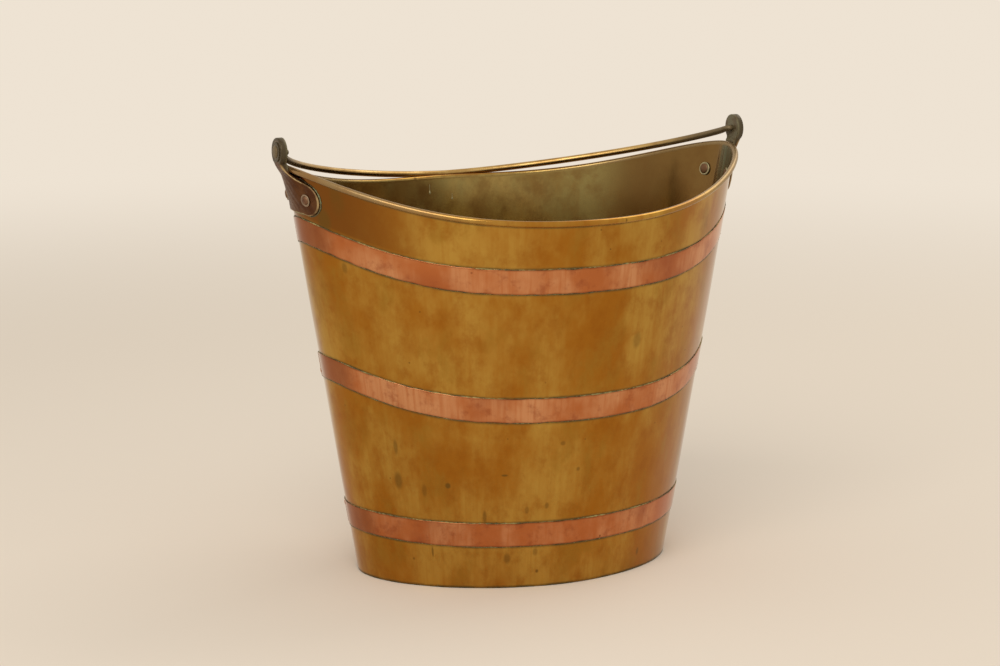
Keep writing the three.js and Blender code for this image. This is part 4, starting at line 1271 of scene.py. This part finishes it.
def handle_path():
    """Right half of the rod's middle line, from its shoulder at the eye to the middle of the bow."""
    shoulder = EYE_BACK - GAP
    leave = float(plan_angle(np.array([BEND_REACH]), lambda a: bow(a)[..., 1])[0])
    start = bow(np.array([leave]))[0]
    bend_in = curve([(shoulder - SHOULDER_RUN, 0.0), (start[0], 0.0), start], 22)
    rest = bow(mix(leave, np.pi / 2, np.linspace(0, 1, 150)))
    return np.concatenate([[(shoulder, 0.0)], bend_in, rest[1:]])


half = handle_path()
path = np.concatenate([half, (half * (-1, 1))[-2::-1]])
tangent = np.gradient(path, axis=0)
tangent[0] = tangent[-1] = (-1, 0)
washer_inner = EYE_OUTER + WASHER_GAP
head_inner = washer_inner + WASHER_THICKNESS + WASHER_GAP
shoulder = EYE_BACK - GAP
end_x = [shoulder + 0.05, head_inner - 0.01]
spread_end = dome(HEAD_RADIUS, HEAD_FLAT, head_inner, head_inner + HEAD_HEIGHT, 8)
end_rings = [(TENON_RADIUS, x) for x in end_x] + spread_end
from_end = np.minimum(np.arange(len(path)), np.arange(len(path))[::-1])
forged = TENON_RADIUS + (ROD_RADIUS - TENON_RADIUS) * smooth(from_end, 0, 30)
radii = [r for r, _ in end_rings][::-1] + forged.tolist() + [r for r, _ in end_rings]
middles = np.array([(x, 0.0) for _, x in end_rings][::-1] + path.tolist() + [(-x, 0.0) for _, x in end_rings])
along = np.array([(-1.0, 0.0)] * len(end_rings) + tangent.tolist() + [(-1.0, 0.0)] * len(end_rings))
along /= np.linalg.norm(along, axis=1, keepdims=True)
turn = full_turn(28)
radii = np.array(radii)[:, None] + 0 * turn
on_rod = slice(len(end_rings) + 2, -len(end_rings) - 2)
travel = np.arange(len(middles))[:, None]
radii[on_rod] += (0.035 * np.sin(travel * 0.13 + 2 * turn) * np.sin(travel * 0.047 + turn))[on_rod]
level = np.stack([along[:, 1], -along[:, 0]], -1)
flat_xy = middles[:, None, :] + level[:, None, :] * (radii * np.cos(turn))[..., None]
rod = np.concatenate([flat_xy, (radii * np.sin(turn))[..., None]], -1)


def rested(points):
    """Turns points drawn flat in the handle's plane down by the rest angle, about the pivot line."""
    c, s = math.cos(REST_ANGLE), math.sin(REST_ANGLE)
    x, y, z = np.moveaxis(points, -1, 0)
    return np.stack([x, y * c + z * s, PIVOT_HEIGHT - y * s + z * c], -1)


def paint_rod(tree):
    place = tree.measure("skin", "Vector")
    cloud = tree.noise(place, 45.0, 4.0, 0.6)
    underside_shade_share = tree.measure("verge")
    colour = tree.blend(tree.ramp(cloud, 0.36, 0.64), (0.56, 0.385, 0.150), (0.40, 0.245, 0.080))
    # Painted shade: the underside of the rod is darker.
    colour = tree.blend(tree.ramp(underside_shade_share, 0.25, 0.85, 0.0, 0.6), colour, (0.21, 0.130, 0.050))
    # Towards the eyes the rod turns greyer, darker and duller: partly tarnish like the eyes, partly painted
    # shade beside them.
    end = tree.measure("eye")
    colour = tree.blend(tree.times(end, 0.9), colour, (0.135, 0.100, 0.052))
    roughness = tree.math("ADD", tree.ramp(cloud, 0.3, 0.7, 0.24, 0.32), tree.times(end, 0.18))
    return colour, roughness, None, tree.between(end, 1.0, 0.45)


rod_metal = metal("worn brass rod", paint_rod)
# 1 under the rod and 0 on top, stored as its verge: where the painted shade goes.
rod_underside_shade = (0.5 - 0.5 * np.sin(turn))[None, :] + 0 * radii
from_middle = np.abs(middles[:, 0])[:, None] + 0 * radii
rod_measures = {"skin": rod / 1000.0, "verge": rod_underside_shade, "eye": smooth(from_middle, 150, 197)}
handle = ringed("bail_rod", rested(rod), measures=rod_measures, sharp_degrees=50)
finish_piece(handle, "handle", "brass_rod", rod_metal, "bail")
print("handle: rod", run_length(path), "mm long between the eyes")

# %% Handle washers
for name, end in (("left", -1), ("right", 1)):
    bore, soft = TENON_RADIUS + GAP, 0.25
    section = [(bore, washer_inner), (WASHER_RADIUS - 0.1, washer_inner), (WASHER_RADIUS, washer_inner + 0.1),
               (WASHER_RADIUS, washer_inner + WASHER_THICKNESS - soft),
               (WASHER_RADIUS - soft, washer_inner + WASHER_THICKNESS), (bore, washer_inner + WASHER_THICKNESS)]
    rings = turned((0, 0, PIVOT_HEIGHT), (end, 0, 0), section, 56).transpose(1, 0, 2)
    washer_measures = {
        "skin": rings / 1000.0,
        "verge": np.clip(np.tile(WASHER_RADIUS - np.array(section)[:, 0], (56, 1)), 0, 9),
        "eye": np.full(rings.shape[:2], EYE_BLOOM),
    }
    washer = ringed(f"bail_washer_{name}_ring", rings, closed=True, measures=washer_measures)
    finish_piece(washer, "handle", "cast_lug", lug_metal, f"bail_washer_{name}")

# %% [markdown]
# ## The iron wire
#
# The wire is inside the rolled rim and shows only through the narrow opening below the roll. Its
# CAD node has the right shape, so it stays and only gets a material, read from Object coordinates.

# %% Wire finish
def paint_wire(tree):
    place = tree.add("ShaderNodeTexCoord").outputs["Object"]
    rust = tree.noise(place, 300.0, 4.0, 0.6)
    colour = tree.blend(tree.ramp(rust, 0.4, 0.65), (0.085, 0.075, 0.068), (0.150, 0.065, 0.028))
    return colour, 0.62, tree.bump(rust, 0.0001)


wire = frame["nodes"]["rim_wire"]
wire.material_slots[0].material = metal("rusted iron wire", paint_wire, metallic=0.7)

# %% [markdown]
# ## Floor, surroundings and light
#
# The bucket stands on a plain pale floor in an even pale room, under two soft lamps. Polished metal
# mirrors whatever is round it, so rays that leave the metal see the same pale floor and the same
# pale room as the camera does. Only the light that falls on surfaces is a little dimmer than the
# room looks, which leaves the floor its soft shadow. For the rays that show the background, and for
# no others, the floor's far part is an even tone of its own colour, so that it runs into the room
# without an edge and adds no light to the bucket.

# %% Floor
PALE = (0.855, 0.765, 0.650)
FLOOR_HALF, FLOOR_DROP = 12.0, 0.0004
LIT_FLOOR_END, GLOW_START = 0.9, 2.4


def background_rays(tree):
    """1 for rays that show the background, from the camera, off metal or through glass; else 0."""
    ray = tree.add("ShaderNodeLightPath").outputs
    by_object = tree.math("MAXIMUM", ray["Is Glossy Ray"], ray["Is Transmission Ray"])
    return tree.math("MAXIMUM", ray["Is Camera Ray"], by_object)


def floor_material():
    """Matt and shadowed near the bucket; beyond that, where it is seen, an even tone of its colour."""
    material = bpy.data.materials.new("pale floor")
    material.use_nodes = True
    tree = Tree(material.node_tree)
    far = tree.add("ShaderNodeVectorMath", {"operation": "LENGTH"})
    tree.put(far.inputs[0], tree.add("ShaderNodeTexCoord").outputs["Object"])
    matt = tree.add("ShaderNodeBsdfDiffuse", Color=(*PALE, 1.0))
    glow = tree.add("ShaderNodeEmission", Color=(*PALE, 1.0), Strength=1.0)
    beyond = tree.ramp(far.outputs["Value"], LIT_FLOOR_END, GLOW_START)
    cover = tree.add("ShaderNodeMixShader", Fac=tree.times(beyond, background_rays(tree)))
    tree.put(cover.inputs[1], matt.outputs[0])
    tree.put(cover.inputs[2], glow.outputs[0])
    tree.add("ShaderNodeOutputMaterial", Surface=cover.outputs[0])
    material.cycles.emission_sampling = "NONE"
    return material


floor_mesh = bpy.data.meshes.new("floor")
corners = [(-1, -1), (1, -1), (1, 1), (-1, 1)]
floor_mesh.from_pydata([(x * FLOOR_HALF, y * FLOOR_HALF, -FLOOR_DROP) for x, y in corners], [], [(0, 1, 2, 3)])
floor_mesh.materials.append(floor_material())
floor = bpy.data.objects.new("floor", floor_mesh)
bpy.context.scene.collection.objects.link(floor)

# %% World and lamps
ROOM_LIGHT, ROOM_LIGHT_STRENGTH = (1.0, 0.965, 0.92, 1.0), 0.62
world = bpy.data.worlds.new("room")
bpy.context.scene.world = world
world.use_nodes = True
sky = Tree(world.node_tree)
shown = sky.add("ShaderNodeBackground", Color=(*PALE, 1.0), Strength=1.0)
even_light = sky.add("ShaderNodeBackground", Color=ROOM_LIGHT, Strength=ROOM_LIGHT_STRENGTH)
room = sky.add("ShaderNodeMixShader", Fac=background_rays(sky))
sky.put(room.inputs[1], even_light.outputs[0])
sky.put(room.inputs[2], shown.outputs[0])
sky.add("ShaderNodeOutputWorld", Surface=room.outputs[0])
world.cycles.sampling_method = "NONE"


def soft_lamp(name, place, target, size, watts):
    """A square area lamp at a place, turned to face the target."""
    data = bpy.data.lights.new(name, "AREA")
    data.size = size
    data.energy = watts
    data.color = (1.0, 0.96, 0.90)
    lamp = bpy.data.objects.new(name, data)
    lamp.location = place
    lamp.rotation_mode = "QUATERNION"
    lamp.rotation_quaternion = (Vector(target) - Vector(place)).to_track_quat("-Z", "Y")
    bpy.context.scene.collection.objects.link(lamp)


LIT_POINT = (0, 0, 0.2)
soft_lamp("key lamp", (-1.3, -1.5, 2.0), LIT_POINT, 1.6, 26.0)
soft_lamp("fill lamp", (1.6, 0.6, 1.9), LIT_POINT, 1.4, 10.0)
print("two soft lamps and an even room")
